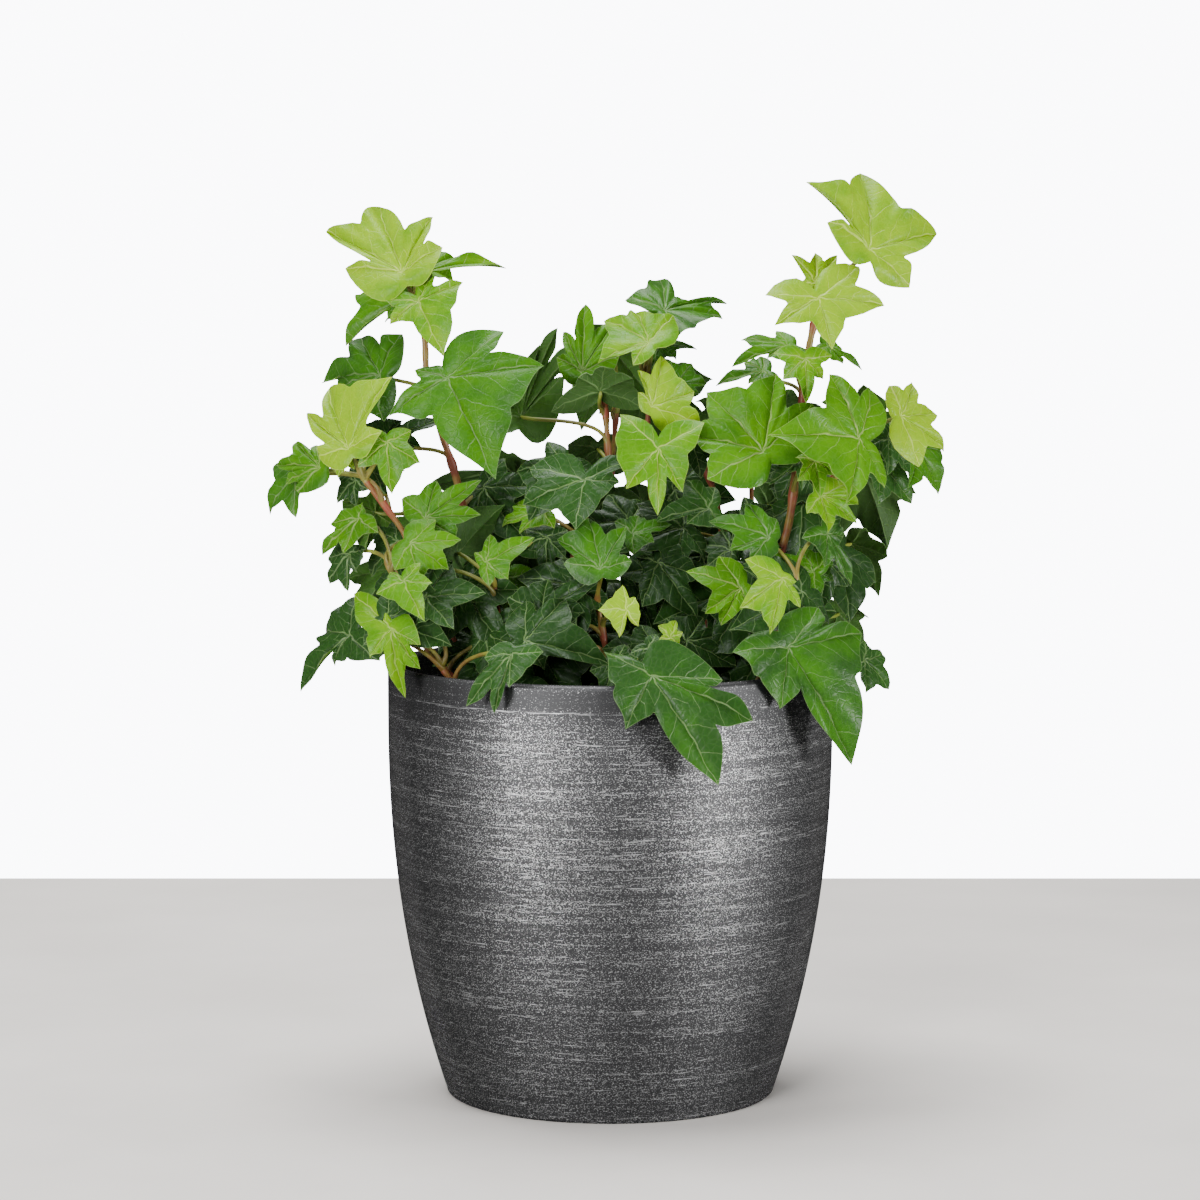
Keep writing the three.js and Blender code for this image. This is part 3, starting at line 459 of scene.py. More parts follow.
@dataclass(frozen=True)
class IvyLeaf:
    """A living leaf with a waxy skin: lime while young, deep green when old, with fine pale veins and a
    duller, greyer underside. The eye sees satin sheen over softly quilted green."""

    greens: tuple[tuple[float, str], ...] = (
        (0.0, "#84AC00"), (0.22, "#508800"), (0.45, "#366A0E"), (0.62, "#274B1A"), (1.0, "#1F3C17")
    )
    vein: str = "#7A9660"
    young_vein: str = "#C6DC62"
    under: str = "#466630"
    roughness: float = 0.32
    under_roughness: float = 0.55
    main_vein_mm: float = 0.36  # half width at the junction
    side_vein_mm: float = 0.22  # half width, a little wider than real so that it shows
    side_veins: float = 4.2  # side veins on each side of a lobe's vein
    side_slant: float = 0.7
    side_bend: float = 0.9
    side_fade: tuple[float, ...] = (0.05, 0.32, 1.0, 0.25)  # from and to which share off the vein, and how
    side_start_mm: float = 1.5  # over which the side veins come in from the junction
    out_of_step: float = 0.45  # how far the veins of the two sides are, in spacings
    narrowing: float = 0.4  # of the main vein, on its way to the tip
    wander_mm: float = 1.3
    wander_over_mm: float = 7.0
    net_mm: float = 2.0
    net_width: float = 0.16  # of a cell
    net_pale: float = 0.05
    margin_mm: float = 0.28
    mottle_mm: float = 9.0
    shifts: tuple[float, float, float] = (0.08, 0.06, 0.05)  # of age by mottle, chance, and off the vein
    under_share: float = 0.55  # how far the underside goes over to its own colour
    skin_mm: float = 5.0
    relief_mm: float = 0.4

    def material(self) -> Material:
        """Green by age under pale veins. Both sides share one skin, and the underside is paler."""
        material, add = new_finish("ivy_leaf_waxy")
        tones = add("SeparateColor", [add("Attribute", attribute_name=TONES)])
        age, under, chance = tones.outputs
        places = add("UVMap", uv_map="vein")
        wander = add("TexNoise", {"Vector": places, "Scale": 1 / self.wander_over_mm, "Detail": 2.0})
        wander = add("VectorMath SUBTRACT", [wander.outputs["Color"], (0.5, 0.5, 0.5)])
        wander = add("VectorMath SCALE", {0: wander, "Scale": 2 * self.wander_mm})
        places = add("VectorMath ADD", [places, wander])
        along, across, _ = add("SeparateXYZ", [places]).outputs
        share, reach, _ = add("SeparateXYZ", [add("UVMap", uv_map="margin")]).outputs
        off_vein = add("Math ABSOLUTE", [across]).outputs[0]
        main = self._main_vein(add, along, off_vein, reach)
        side = self._side_veins(add, along, across, off_vein, reach)
        cells = {"Vector": places, "Scale": 1 / self.net_mm}
        cells = add("TexVoronoi", cells, feature="DISTANCE_TO_EDGE")
        net = add("MapRange", [cells, 0.0, self.net_width, 1.0, 0.0])
        drawn = add("Math MAXIMUM", [main, side])
        relief = self._relief(add, drawn, net)
        fine = add("Math MULTIPLY", [net, self.net_pale])
        drawn = add("Math MAXIMUM", [drawn, fine])
        drawn = add("Math MAXIMUM", [drawn, self._margin(add, share, reach)])
        aged = add("MapRange", [age, 0.05, 0.45])
        pale = add("Mix RGBA", {0: aged, 6: linear(self.young_vein), 7: linear(self.vein)}).outputs[2]
        green = self._green(add, age, chance, off_vein, reach)
        upper = add("Mix RGBA", {0: drawn, 6: green, 7: pale}).outputs[2]
        lower = add("Mix RGBA", {0: self.under_share, 6: upper, 7: linear(self.under)}).outputs[2]
        colour = add("Mix RGBA", {0: under, 6: upper, 7: lower}).outputs[2]
        look = {
            "Base Color": colour,
            "Roughness": add("MapRange", {0: under, 3: self.roughness, 4: self.under_roughness}),
            "Normal": relief,
            "IOR": 1.45,
            "Specular IOR Level": 0.2,
            "Subsurface Weight": 0.15,
            "Subsurface Radius": (0.4, 0.9, 0.1),
            "Subsurface Scale": 0.8 * MM,
        }
        finish_with(add, look)
        return material

    def _green(self, add: Adder, age: Input, chance: Input, off_vein: Input, reach: Input) -> Socket:
        """Greens by age, shifted a little by chance and by mottling, and deeper away from the vein."""
        place = add("TexCoord").outputs["Object"]
        mottle = add("TexNoise", {"Vector": place, "Scale": 1 / (self.mottle_mm * MM), "Detail": 3.0})
        aside = add("Math DIVIDE", [off_vein, reach])
        sources = ((mottle, 0.3, 0.7), (chance, 0.0, 1.0), (aside, 0.0, 0.35))
        for (source, low, high), most in zip(sources, self.shifts):
            shift = add("MapRange", [source, low, high, -most, most])
            age = add("Math ADD", [age, shift])
        ramp = add("ValToRGB", [age])
        stops = ramp.color_ramp.elements
        for place_at, _ in self.greens[1:-1]:
            stops.new(place_at)
        for stop, (_, hex_colour) in zip(stops, self.greens):
            stop.color = linear(hex_colour)
        return ramp.outputs[0]

    def _main_vein(self, add: Adder, along: Input, off_vein: Input, reach: Input) -> Node:
        """Pale where the distance off the lobe's vein is under a half width that shrinks to the tip."""
        share = add("Math DIVIDE", [along, reach])
        width = add("MapRange", {0: share, 3: self.main_vein_mm, 4: self.narrowing * self.main_vein_mm})
        close = add("Math DIVIDE", [off_vein, width])
        return add("MapRange", [close, 0.3, 1.2, 0.7, 0.0], interpolation_type="SMOOTHSTEP")

    def _side_veins(self, add: Adder, along: Input, across: Input, off_vein: Input, reach: Input) -> Node:
        """Lines that leave the lobe's vein in turn on its two sides and bend forward. A point's line
        starts at its distance along, less a slant times its distance off the vein, less a bend times the
        square of that distance over the reach."""
        slant = add("Math MULTIPLY", [off_vein, self.side_slant])
        square = add("Math MULTIPLY", [off_vein, off_vein])
        square = add("Math MULTIPLY", [square, self.side_bend])
        bend = add("Math DIVIDE", [square, reach])
        start = add("Math SUBTRACT", [along, slant])
        start = add("Math SUBTRACT", [start, bend])
        spacing = add("Math DIVIDE", [reach, self.side_veins])
        turns = add("Math DIVIDE", [start, spacing])
        other_side = add("Math GREATER_THAN", [across, 0.0])
        other_side = add("Math MULTIPLY", [other_side, self.out_of_step])
        turns = add("Math ADD", [turns, other_side])
        gap = add("Math PINGPONG", [turns, 0.5])
        gap = add("Math MULTIPLY", [gap, spacing])
        line = add("MapRange", [gap, 0.0, self.side_vein_mm, 0.5, 0.0], interpolation_type="SMOOTHSTEP")
        faded = add("Math DIVIDE", [off_vein, reach])
        for fade in ((faded, *self.side_fade), (start, 0.0, self.side_start_mm, 0.0, 1.0)):
            kept = add("MapRange", fade)
            line = add("Math MULTIPLY", [line, kept])
        return line

    def _margin(self, add: Adder, share: Input, reach: Input) -> Node:
        """A thin pale edge where the distance left to the margin is small."""
        left = add("Math SUBTRACT", [1.0, share])
        left = add("Math MULTIPLY", [left, reach])
        return add("MapRange", [left, 0.0, self.margin_mm, 0.6, 0.0])

    def _relief(self, add: Adder, veins: Input, net: Input) -> Node:
        """Veins and their net sunk below the quilted skin, with a fine waxy unevenness."""
        place = add("TexCoord").outputs["Object"]
        skin = add("TexNoise", {"Vector": place, "Scale": 1 / (self.skin_mm * MM), "Detail": 1.0})
        sunk = add("Math MULTIPLY", [net, 0.2])
        sunk = add("Math ADD", [veins, sunk])
        height = add("Math SUBTRACT", [skin, sunk])
        return add("Bump", {"Height": height, "Distance": self.relief_mm * MM, "Strength": 0.5})


@dataclass(frozen=True)
class IvyBark:
    """The skin of young ivy wood and leaf stalks: red-brown where the sun reddens it, yellow-green where
    it is soft. The eye sees satin, finely striped canes."""

    red: str = "#8C4634"
    brown: str = "#644430"
    soft: str = "#6C7C28"
    pale: str = "#8E9C3C"
    roughness: float = 0.42
    stripe_mm: float = 0.5
    drawn_out: float = 0.12  # a stripe's width as a share of its length
    patch_mm: float = 6.0
    relief_mm: float = 0.12

    def material(self) -> Material:
        """Brown to red by the first tone, and green by the second, under stripes along the cane."""
        material, add = new_finish("ivy_bark_young")
        tones = add("SeparateColor", [add("Attribute", attribute_name=TONES)])
        redness, softness, chance = tones.outputs
        drawn_out = add("Mapping", {0: add("UVMap", uv_map="vein"), "Scale": (self.drawn_out, 1.0, 1.0)})
        stripes = add("TexNoise", {"Vector": drawn_out, "Scale": 1 / self.stripe_mm, "Detail": 3.0})
        place = add("TexCoord").outputs["Object"]
        patches = add("TexNoise", {"Vector": place, "Scale": 1 / (self.patch_mm * MM), "Detail": 2.0})
        blotch = add("MapRange", [patches, 0.35, 0.65, -0.25, 0.25])
        reddened = add("Math ADD", [redness, blotch], use_clamp=True)
        bark = add("Mix RGBA", {0: reddened, 6: linear(self.brown), 7: linear(self.red)}).outputs[2]
        green = add("Mix RGBA", {0: chance, 6: linear(self.soft), 7: linear(self.pale)}).outputs[2]
        softened = add("Math ADD", [softness, blotch], use_clamp=True)
        colour = add("Mix RGBA", {0: softened, 6: bark, 7: green}).outputs[2]
        shade = add("MapRange", [stripes, 0.3, 0.7, 0.78, 1.12])
        colour = add("VectorMath MULTIPLY", [colour, shade])
        bump = add("Bump", {"Height": stripes, "Distance": self.relief_mm * MM, "Strength": 0.5})
        look = {"Base Color": colour, "Roughness": self.roughness, "Normal": bump, "IOR": 1.45}
        finish_with(add, look)
        return material


# --- The plant's plan ---


EYE_DISTANCE = 1205.0  # the leaf places below are as seen from this eye in front of the pot
EYE_HEIGHT = 270.5
OUTWARD_LEAN = 0.006  # how much more a leaf faces sideways for each millimetre off the axis


class Side(Enum):
    """Which side of a leaf the front of the plant sees."""

    UPPER = 1
    UNDER = -1


@dataclass(frozen=True)
class LeafRow:
    """A leaf as seen from the front: junction, depth, facing, age and the tips of its lobes."""

    x: float
    z: float
    depth: float
    right: float
    up: float
    age: float
    tips: tuple[tuple[float, float], ...]
    side: Side


def sighted(x: float, depth: float, z: float) -> Array:
    """The real place of a point seen at (x, z) that lies at a depth behind the pot's axis: its distance
    from the eye's line of sight grows with the depth."""
    grow = 1 + depth / EYE_DISTANCE
    return np.array([x * grow, depth, EYE_HEIGHT + (z - EYE_HEIGHT) * grow])


def leaf(
    x: float, z: float, depth: float, right: float, up: float, age: float, *tips: Sequence[float],
    side: Side = Side.UPPER,
) -> LeafRow:
    """A leaf as seen from the front.

    Args:
        x: Place of its junction across, in millimetres.
        z: Place of its junction up.
        depth: Distance of the junction behind the pot's axis.
        right: How far it faces right, before the lean outwards.
        up: How far it faces up.
        age: From 0, lime and folded, to 1, dark and drooping.
        *tips: Seen places of its lobe tips in order round the blade, or only of the middle one.
        side: The side that it shows.

    Returns:
        The leaf's row.
    """
    right += side.value * OUTWARD_LEAN * x
    return LeafRow(x, z, depth, right, up, age, tuple(map(tuple, tips)), side)


turned = partial(leaf, side=Side.UNDER)  # a leaf that shows its underside to the front


@dataclass(frozen=True)
class StemPlan:
    """A stem: the part's node, the stem's radius, its route from the soil up, the leaves that the part
    has, and the inner leaves that it leaves out."""

    node: str
    radius: float
    route: Sequence[Sequence[float]]
    leaves: Sequence[LeafRow]
    inner_leaves: Sequence[LeafRow] = ()


@dataclass(frozen=True)
class FarPlan:
    """A stem of the far side: as StemPlan, with the seen places (across, up, depth) of its leaves."""

    node: str
    radius: float
    route: Sequence[Sequence[float]]
    spots: Sequence[Sequence[float]]


STEM_PLANS = [
    StemPlan("ivy_stem_01", 1.9, [
        [-24, 4, 92.3], [-24.5, 4, 112], [-35, 0, 135], [-43, -4, 160], [-47, -6, 190], [-53, -7, 210],
        [-57, -7, 224], [-58, -6, 240], [-61, -5, 253]
    ], [
        leaf(-65, 259, -8, 0.1, 0.55, 0.03, [-84, 261], [-91, 273], [-75, 283], [-56, 277], [-53, 268]),
        leaf(-62, 252, 0, -0.3, 0.9, 0.35, [-81, 253], [-86, 239], [-71, 244]),
        leaf(-60, 250, -12, 0.2, 0.6, 0.2, [-69, 243], [-52, 234], [-46, 256]),
        leaf(-58, 259, 2, 0.2, 1.8, 0.3, [-49, 265], [-33, 265], [-49, 258]),
        leaf(-51, 226, -24, 0.1, 0.5, 0.45, [-34, 242], [-21, 231], [-37, 198], [-70, 215], [-62, 229]),
        leaf(-72, 227, 2, -0.4, 0.7, 0.5, [-67, 241], [-81, 240], [-96, 227], [-90, 223]),
        leaf(-72, 206, 2, 0.2, 0.5, 0.92, [-66, 214], [-54, 215], [-60, 206]),
        leaf(-45, 168, 8, -0.1, 0.4, 1, [-45, 155]),
    ]),
    StemPlan("ivy_stem_02", 1.5, [
        [-30, -12, 92.3], [-30.5, -12, 112], [-43, -16, 135], [-52, -20, 155], [-62, -22, 176],
        [-70, -22, 188], [-76, -22, 196]
    ], [
        leaf(-82, 204, -26, -0.1, 0.3, 0.02, [-93, 201], [-98, 215], [-92, 224], [-69, 227], [-72, 210]),
        leaf(-83, 202, -24, 0.1, 0.4, 0.08, [-86, 195]),
        leaf(-91, 198, -14, -0.2, 0.5, 0.35, [-93, 205], [-101, 206], [-108, 199], [-104, 193],
             [-99, 190]),
        leaf(-98, 196, -8, -0.3, 0.5, 0.45, [-111, 184]),
        leaf(-70, 206, -24, 0.3, 0.2, 0.25, [-69, 190]),
        leaf(-76, 202, -14, -0.2, 0.3, 0.9, [-81, 196], [-72, 190], [-66, 198]),
        leaf(-58, 182, -28, 0.1, 0.4, 0.4, [-66, 188], [-55, 194], [-41, 195], [-41, 184], [-48, 176]),
        leaf(-80, 194, -10, -0.2, 0.3, 0.9, [-88, 187]),
    ]),
    StemPlan("ivy_stem_03", 1.4, [
        [-36, -24, 92.3], [-36.5, -24, 112], [-45, -27, 130], [-55, -30, 142], [-62, -32, 156],
        [-67, -32, 168]
    ], [
        leaf(-79, 182, -18, -0.2, 0.5, 0.35, [-78, 187], [-89, 180], [-93, 171], [-84, 171]),
        leaf(-82, 171, -12, -0.3, 0.2, 0.8, [-90, 169], [-91, 161], [-84, 159], [-80, 165]),
        leaf(-63, 174, -34, 0.3, 0.4, 0.35, [-55, 182], [-47, 176], [-51, 167], [-60, 163], [-68, 166]),
        leaf(-67, 175, -26, -0.3, 0.4, 0.75, [-76, 178], [-78, 164], [-69, 166]),
        leaf(-65, 162, -44, 0.1, 0.5, 0.3, [-70, 165], [-74, 158], [-59, 151], [-56, 162], [-60, 168]),
    ]),
    StemPlan("ivy_stem_04", 1.4, [
        [-33, -32, 92.3], [-33.5, -32, 112], [-44, -34, 127], [-52, -34, 139]
    ], [
        leaf(-69, 147, -34, -0.1, 0.6, 0.22, [-83, 158], [-76, 138], [-66, 128], [-60, 136], [-60, 143]),
        leaf(-82, 145, -10, -0.4, 0.6, 0.8, [-93, 146], [-103, 128], [-89, 136]),
        leaf(-66, 150, -22, 0.3, 0.3, 0.9, [-60, 143]),
        leaf(-31, 139, -63, 0.1, 0.45, 0.6, [-40, 138], [-46, 124], [-37, 122], [-32, 129]),
    ]),
    StemPlan("ivy_stem_05", 1.5, [
        [-14, -20, 92.3], [-14.5, -20, 112], [-26, -22, 132], [-34, -24, 150], [-36, -24, 164]
    ], [
        leaf(-39, 168, -34, 0.1, 0.5, 0.35, [-43, 171], [-38, 177], [-24, 177], [-32, 163], [-38, 161]),
        leaf(-33, 163, -26, 0.2, 0.5, 0.4, [-41, 165], [-40, 159], [-31, 152], [-26, 155], [-23, 165]),
        turned(-48, 171, -20, 0.6, 0.2, 0.7, [-37, 185]),
        turned(-53, 165, -6, 0.2, 0.1, 0.7, [-53, 152]),
        leaf(-20, 176, -12, 0.1, 0.4, 0.85, [-28, 173], [-20, 163], [-14, 170]),
    ]),
    StemPlan("ivy_stem_06", 1.6, [
        [-6, -4, 92.3], [-6, -4, 112], [-12, -6, 135], [-13, -8, 160], [-8, -8, 183], [-1, -7, 194],
        [-1, -6, 208], [-2, -5, 222]
    ], [
        leaf(-9, 228, -4, 0, 0.35, 0.4, [-17, 233], [-15, 241], [-8, 251], [2, 245], [3, 234]),
        turned(-3, 222, -12, 0, -0.9, 0.9, [-19, 218], [-10, 228], [-2, 232], [7, 228], [11, 219]),
        leaf(-8, 194, -30, 0, 0.5, 0.72, [-26, 199], [-28, 188], [-11, 180], [3, 194], [7, 202]),
        turned(-28, 214, 2, 0.4, 0.2, 0.5, [-33, 225], [-24, 236], [-19, 241], [-12, 236], [-16, 226]),
        leaf(-21, 184, -14, -0.2, 1, 0.3, [-31, 187], [-35, 181], [-29, 178]),
        leaf(-24, 179, -6, 0.1, 1.6, 0.9, [-29, 182], [-12, 177], [-24, 174]),
        turned(-30, 196, 8, -0.2, -0.8, 0.8, [-26, 203], [-43, 204], [-58, 196], [-41, 197]),
    ]),
    StemPlan("ivy_stem_07", 1.5, [[4, -24, 92.3], [4, -24, 112], [0, -26, 135], [-4, -26, 158]], [
        leaf(-3, 166, -38, 0, 0.4, 0.45, [-15, 168], [-17, 176], [-7, 183], [5, 180], [7, 169]),
        leaf(5, 153, -46, 0.1, 0.5, 0.02, [3, 145], [-4, 153], [4, 161], [8, 157], [9, 148]),
        leaf(-27, 143, -55, 0.1, 0.6, 0.85, [-27, 157], [-14, 158], [0, 139], [-21, 136]),
        leaf(-22, 152, -42, 0.1, 0.6, 0.9, [-20, 163], [-3, 165], [-8, 153]),
        leaf(19, 144, -40, 0, 0.6, 0.15, [15, 148], [21, 150], [23, 146]),
    ]),
    StemPlan("ivy_stem_08", 1.5, [[10, -40, 92.3], [10, -40, 112], [8, -46, 126], [9, -52, 136]], [
        leaf(13, 132, -68, 0.05, 0.5, 0.7, [-2, 140], [5, 117], [35, 101], [46, 120], [36, 131]),
        leaf(12, 141, -50, 0.1, 0.6, 0.85, [20, 133]),
        leaf(24, 143, -34, 0.1, 0.5, 1, [12, 141], [30, 151], [43, 146], [41, 136], [22, 133]),
    ]),
    StemPlan("ivy_stem_09", 2, [
        [34, -4, 92.3], [34.5, -4, 112], [44, -6, 133], [47, -7, 150], [52, -8, 168], [56, -8, 182],
        [58.5, -8, 204], [60, -7, 220], [62, -6, 236], [65, -4, 249]
    ], [
        leaf(65, 251, -12, 0, 0.6, 0.02, [48, 252], [51, 243], [70, 236], [87, 249], [79, 261]),
        leaf(64, 256, -2, 0, 0.3, 0.02, [57, 265], [65, 266], [72, 265]),
        leaf(81, 266, -14, 0.1, 0.5, 0.08, [69, 276], [63, 289], [82, 293], [105, 272], [95, 255]),
        leaf(61, 232, -16, 0, 0.5, 0.25, [51, 234], [54, 226], [62, 219], [67, 226], [70, 233]),
        leaf(56, 236, -2, -0.2, 1, 0.4, [52, 241], [41, 239], [38, 232], [49, 233]),
        leaf(68, 236, 0, 0.2, 1.2, 0.4, [73, 235], [80, 230], [73, 231]),
        leaf(48, 228, 6, -0.1, 1.4, 0.4, [42, 231], [33, 226], [43, 225]),
        leaf(60, 200, -16, -0.2, 0.6, 0.6, [56, 204], [50, 194], [56, 197]),
    ]),
    StemPlan("ivy_stem_10", 1.6, [
        [44, 8, 92.3], [44.5, 8, 112], [54, 8, 140], [62, 6, 165], [66, 4, 185], [72, 0, 198]
    ], [
        leaf(78, 207, -26, 0.1, 0.45, 0.3, [87, 192], [75, 188], [52, 211], [70, 228], [84, 224]),
        leaf(91, 214, -8, 0.2, 0.4, 0.05, [88, 224], [96, 225], [105, 215], [107, 203], [97, 198]),
        leaf(87, 207, 2, 0.2, 0.4, 0.7, [95, 211], [96, 196], [88, 196]),
        leaf(84, 200, 10, 0.3, 0.5, 0.6, [97, 187]),
        leaf(96, 204, 6, 0.3, 0.4, 0.5, [106, 190]),
        leaf(66, 189, -22, 0.1, 0.5, 0.25, [62, 184], [69, 178], [79, 181], [80, 187], [75, 193]),
        leaf(64, 200, -14, 0.1, 0.4, 0.25, [67, 189]),
    ]),
    StemPlan("ivy_stem_11", 1.5, [
        [40, -20, 92.3], [40.5, -20, 112], [46, -24, 130], [52, -30, 150], [57, -30, 165]
    ], [
        leaf(54, 163, -44, 0.05, 0.5, 0.2, [42, 169], [41, 155], [51, 147], [60, 154], [59, 162]),
        leaf(64, 165, -26, -0.1, 0.5, 0.4, [60, 173], [48, 171], [54, 164]),
        leaf(68, 177, -16, 0.3, 0.4, 0.55, [74, 176], [78, 161], [68, 167]),
        leaf(65, 165, -18, 0.2, 0.5, 0.5, [71, 169]),
        leaf(50, 176, -30, 0, 0.5, 0.5, [53, 182], [43, 188], [32, 183], [38, 173], [44, 169]),
    ]),
    StemPlan("ivy_stem_12", 1.5, [[30, -34, 92.3], [30.5, -34, 112], [40, -38, 126], [48, -40, 136]], [
        leaf(56, 141, -46, 0.15, 0.45, 0.6, [39, 141], [54, 123], [80, 106], [82, 145], [67, 153]),
        leaf(80, 137, -20, 0.3, 0.5, 0.6, [90, 128]),
        leaf(41, 160, -36, -0.1, 0.45, 0.3, [34, 170], [24, 166], [30, 153], [35, 149], [45, 151]),
    ]),
    StemPlan("ivy_stem_13", 1.6, [
        [18, 2, 92.3], [18.5, 2, 112], [28, 2, 140], [36, 2, 165], [34, 2, 185], [29, 0, 200],
        [22, -2, 216]
    ], [
        leaf(15, 204, -30, 0, 0.4, 0.2, [3, 215], [5, 192], [15, 184], [23, 191], [30, 212]),
        leaf(13, 217, -20, 0.2, 0.3, 0.12, [9, 222], [9, 229], [17, 234], [27, 222], [29, 212]),
        leaf(20, 224, -8, 0.2, 0.5, 0.5, [19, 232], [26, 231], [31, 225], [28, 221]),
        leaf(48, 203, -22, -0.1, 0.45, 0.35, [30, 195], [25, 209], [31, 223], [53, 228], [65, 218]),
        leaf(26, 206, -10, 0, 0.3, 0.95, [29, 195]),
        leaf(31, 185, -16, -0.1, 0.7, 0.6, [24, 195], [14, 183], [24, 181]),
        leaf(38, 172, -8, -0.2, 0.9, 1, [26, 175]),
    ]),
    StemPlan("ivy_stem_14", 1.5, [
        [8, 14, 92.3], [8, 14, 112], [10, 14, 140], [14, 12, 170], [12, 8, 200], [12, 4, 225]
    ], [
        leaf(12, 237, -14, 0, 1, 0.22, [20, 246], [8, 248], [-2, 246], [-4, 232], [7, 231]),
        leaf(17, 247, 2, 0.2, 1.6, 0.5, [25, 250], [38, 253], [36, 247]),
        leaf(15, 236, 0, 0.1, 0.9, 0.55, [21, 239], [28, 237], [21, 233]),
        leaf(7, 177, -20, 0.1, 0.8, 0.55, [9, 183], [20, 181], [14, 175]),
        leaf(15, 168, -16, 0, 0.5, 1, [8, 170], [10, 155], [28, 152], [29, 164]),
    ]),
]

FAR_PLANS = [
    FarPlan("ivy_stem_15", 1.5, [
        [-22, 26, 92.3], [-22.5, 26, 112], [-34, 36, 135], [-42, 42, 158], [-50, 40, 178]
    ], [
        [-62, 152, 46], [-70, 166, 30], [-62, 180, 44], [-44, 178, 54], [-36, 160, 60], [-74, 184, 14]
    ]),
    FarPlan("ivy_stem_16", 1.5, [
        [0, 40, 92.3], [0, 40, 112], [-4, 50, 135], [-4, 54, 160], [0, 50, 190], [2, 42, 214]
    ], [
        [-20, 148, 66], [4, 160, 70], [-12, 176, 60], [10, 186, 62], [-4, 204, 54], [10, 222, 46],
        [0, 236, 34]
    ]),
    FarPlan("ivy_stem_17", 1.5, [
        [26, 30, 92.3], [26.5, 30, 112], [36, 40, 135], [44, 44, 160], [46, 42, 185], [44, 36, 205]
    ], [
        [28, 166, 50], [46, 166, 56], [30, 176, 62], [44, 206, 52], [54, 214, 40], [36, 216, 48],
        [56, 156, 44]
    ]),
    FarPlan("ivy_stem_18", 1.5, [
        [44, 16, 92.3], [44.5, 16, 112], [55, 22, 135], [68, 28, 160], [74, 26, 185], [78, 22, 205]
    ], [
        [72, 152, 36], [76, 174, 42], [80, 196, 38], [84, 214, 28]
    ]),
]


@dataclass
class SeededNumbers:
    """Even random numbers from 0 to 1: the state times 16807, kept below 2 to the 31 less 1."""

    state: int

    def draw(self) -> float:
        """The next number."""
        self.state = self.state * 16807 % 2147483647
        return self.state / 2147483647


@dataclass(frozen=True)
class FarLeaves:
    """How the leaves of the far side grow: sizes, headings and ages are drawn for each spot."""

    seed: int = 29
    shortest: float = 20.0
    longest: float = 34.0
    youngest: float = 0.3
    facing_up: float = -0.6
    facing_right: float = 0.6
    turn: float = 130.0
    across: float = 0.9
    down: float = 0.8

    def stems(self, plans: Sequence[FarPlan]) -> list[StemPlan]:
        """The far stems with their leaves: each leaf's tip lies from its spot by its length times the
        sine and cosine of its heading, which swings about straight down.

        Args:
            plans: The far stems and their spots.

        Returns:
            A plan with leaves for each.
        """
        numbers = SeededNumbers(self.seed)
        return [
            StemPlan(plan.node, plan.radius, plan.route, [self._leaf(spot, numbers) for spot in plan.spots])
            for plan in plans
        ]

    def _leaf(self, spot: Sequence[float], numbers: SeededNumbers) -> LeafRow:
        """One leaf that faces away, drawn in the order length, heading, age, facing."""
        x, z, depth = spot
        length = self.shortest + numbers.draw() * (self.longest - self.shortest)
        heading = math.radians(180 + (numbers.draw() - 0.5) * self.turn)
        age = self.youngest + numbers.draw() * (1 - self.youngest)
        right = (numbers.draw() - 0.5) * self.facing_right
        tip = (x + self.across * length * math.sin(heading), z + self.down * length * math.cos(heading))
        return turned(x, z, depth, right, self.facing_up, age, tip)


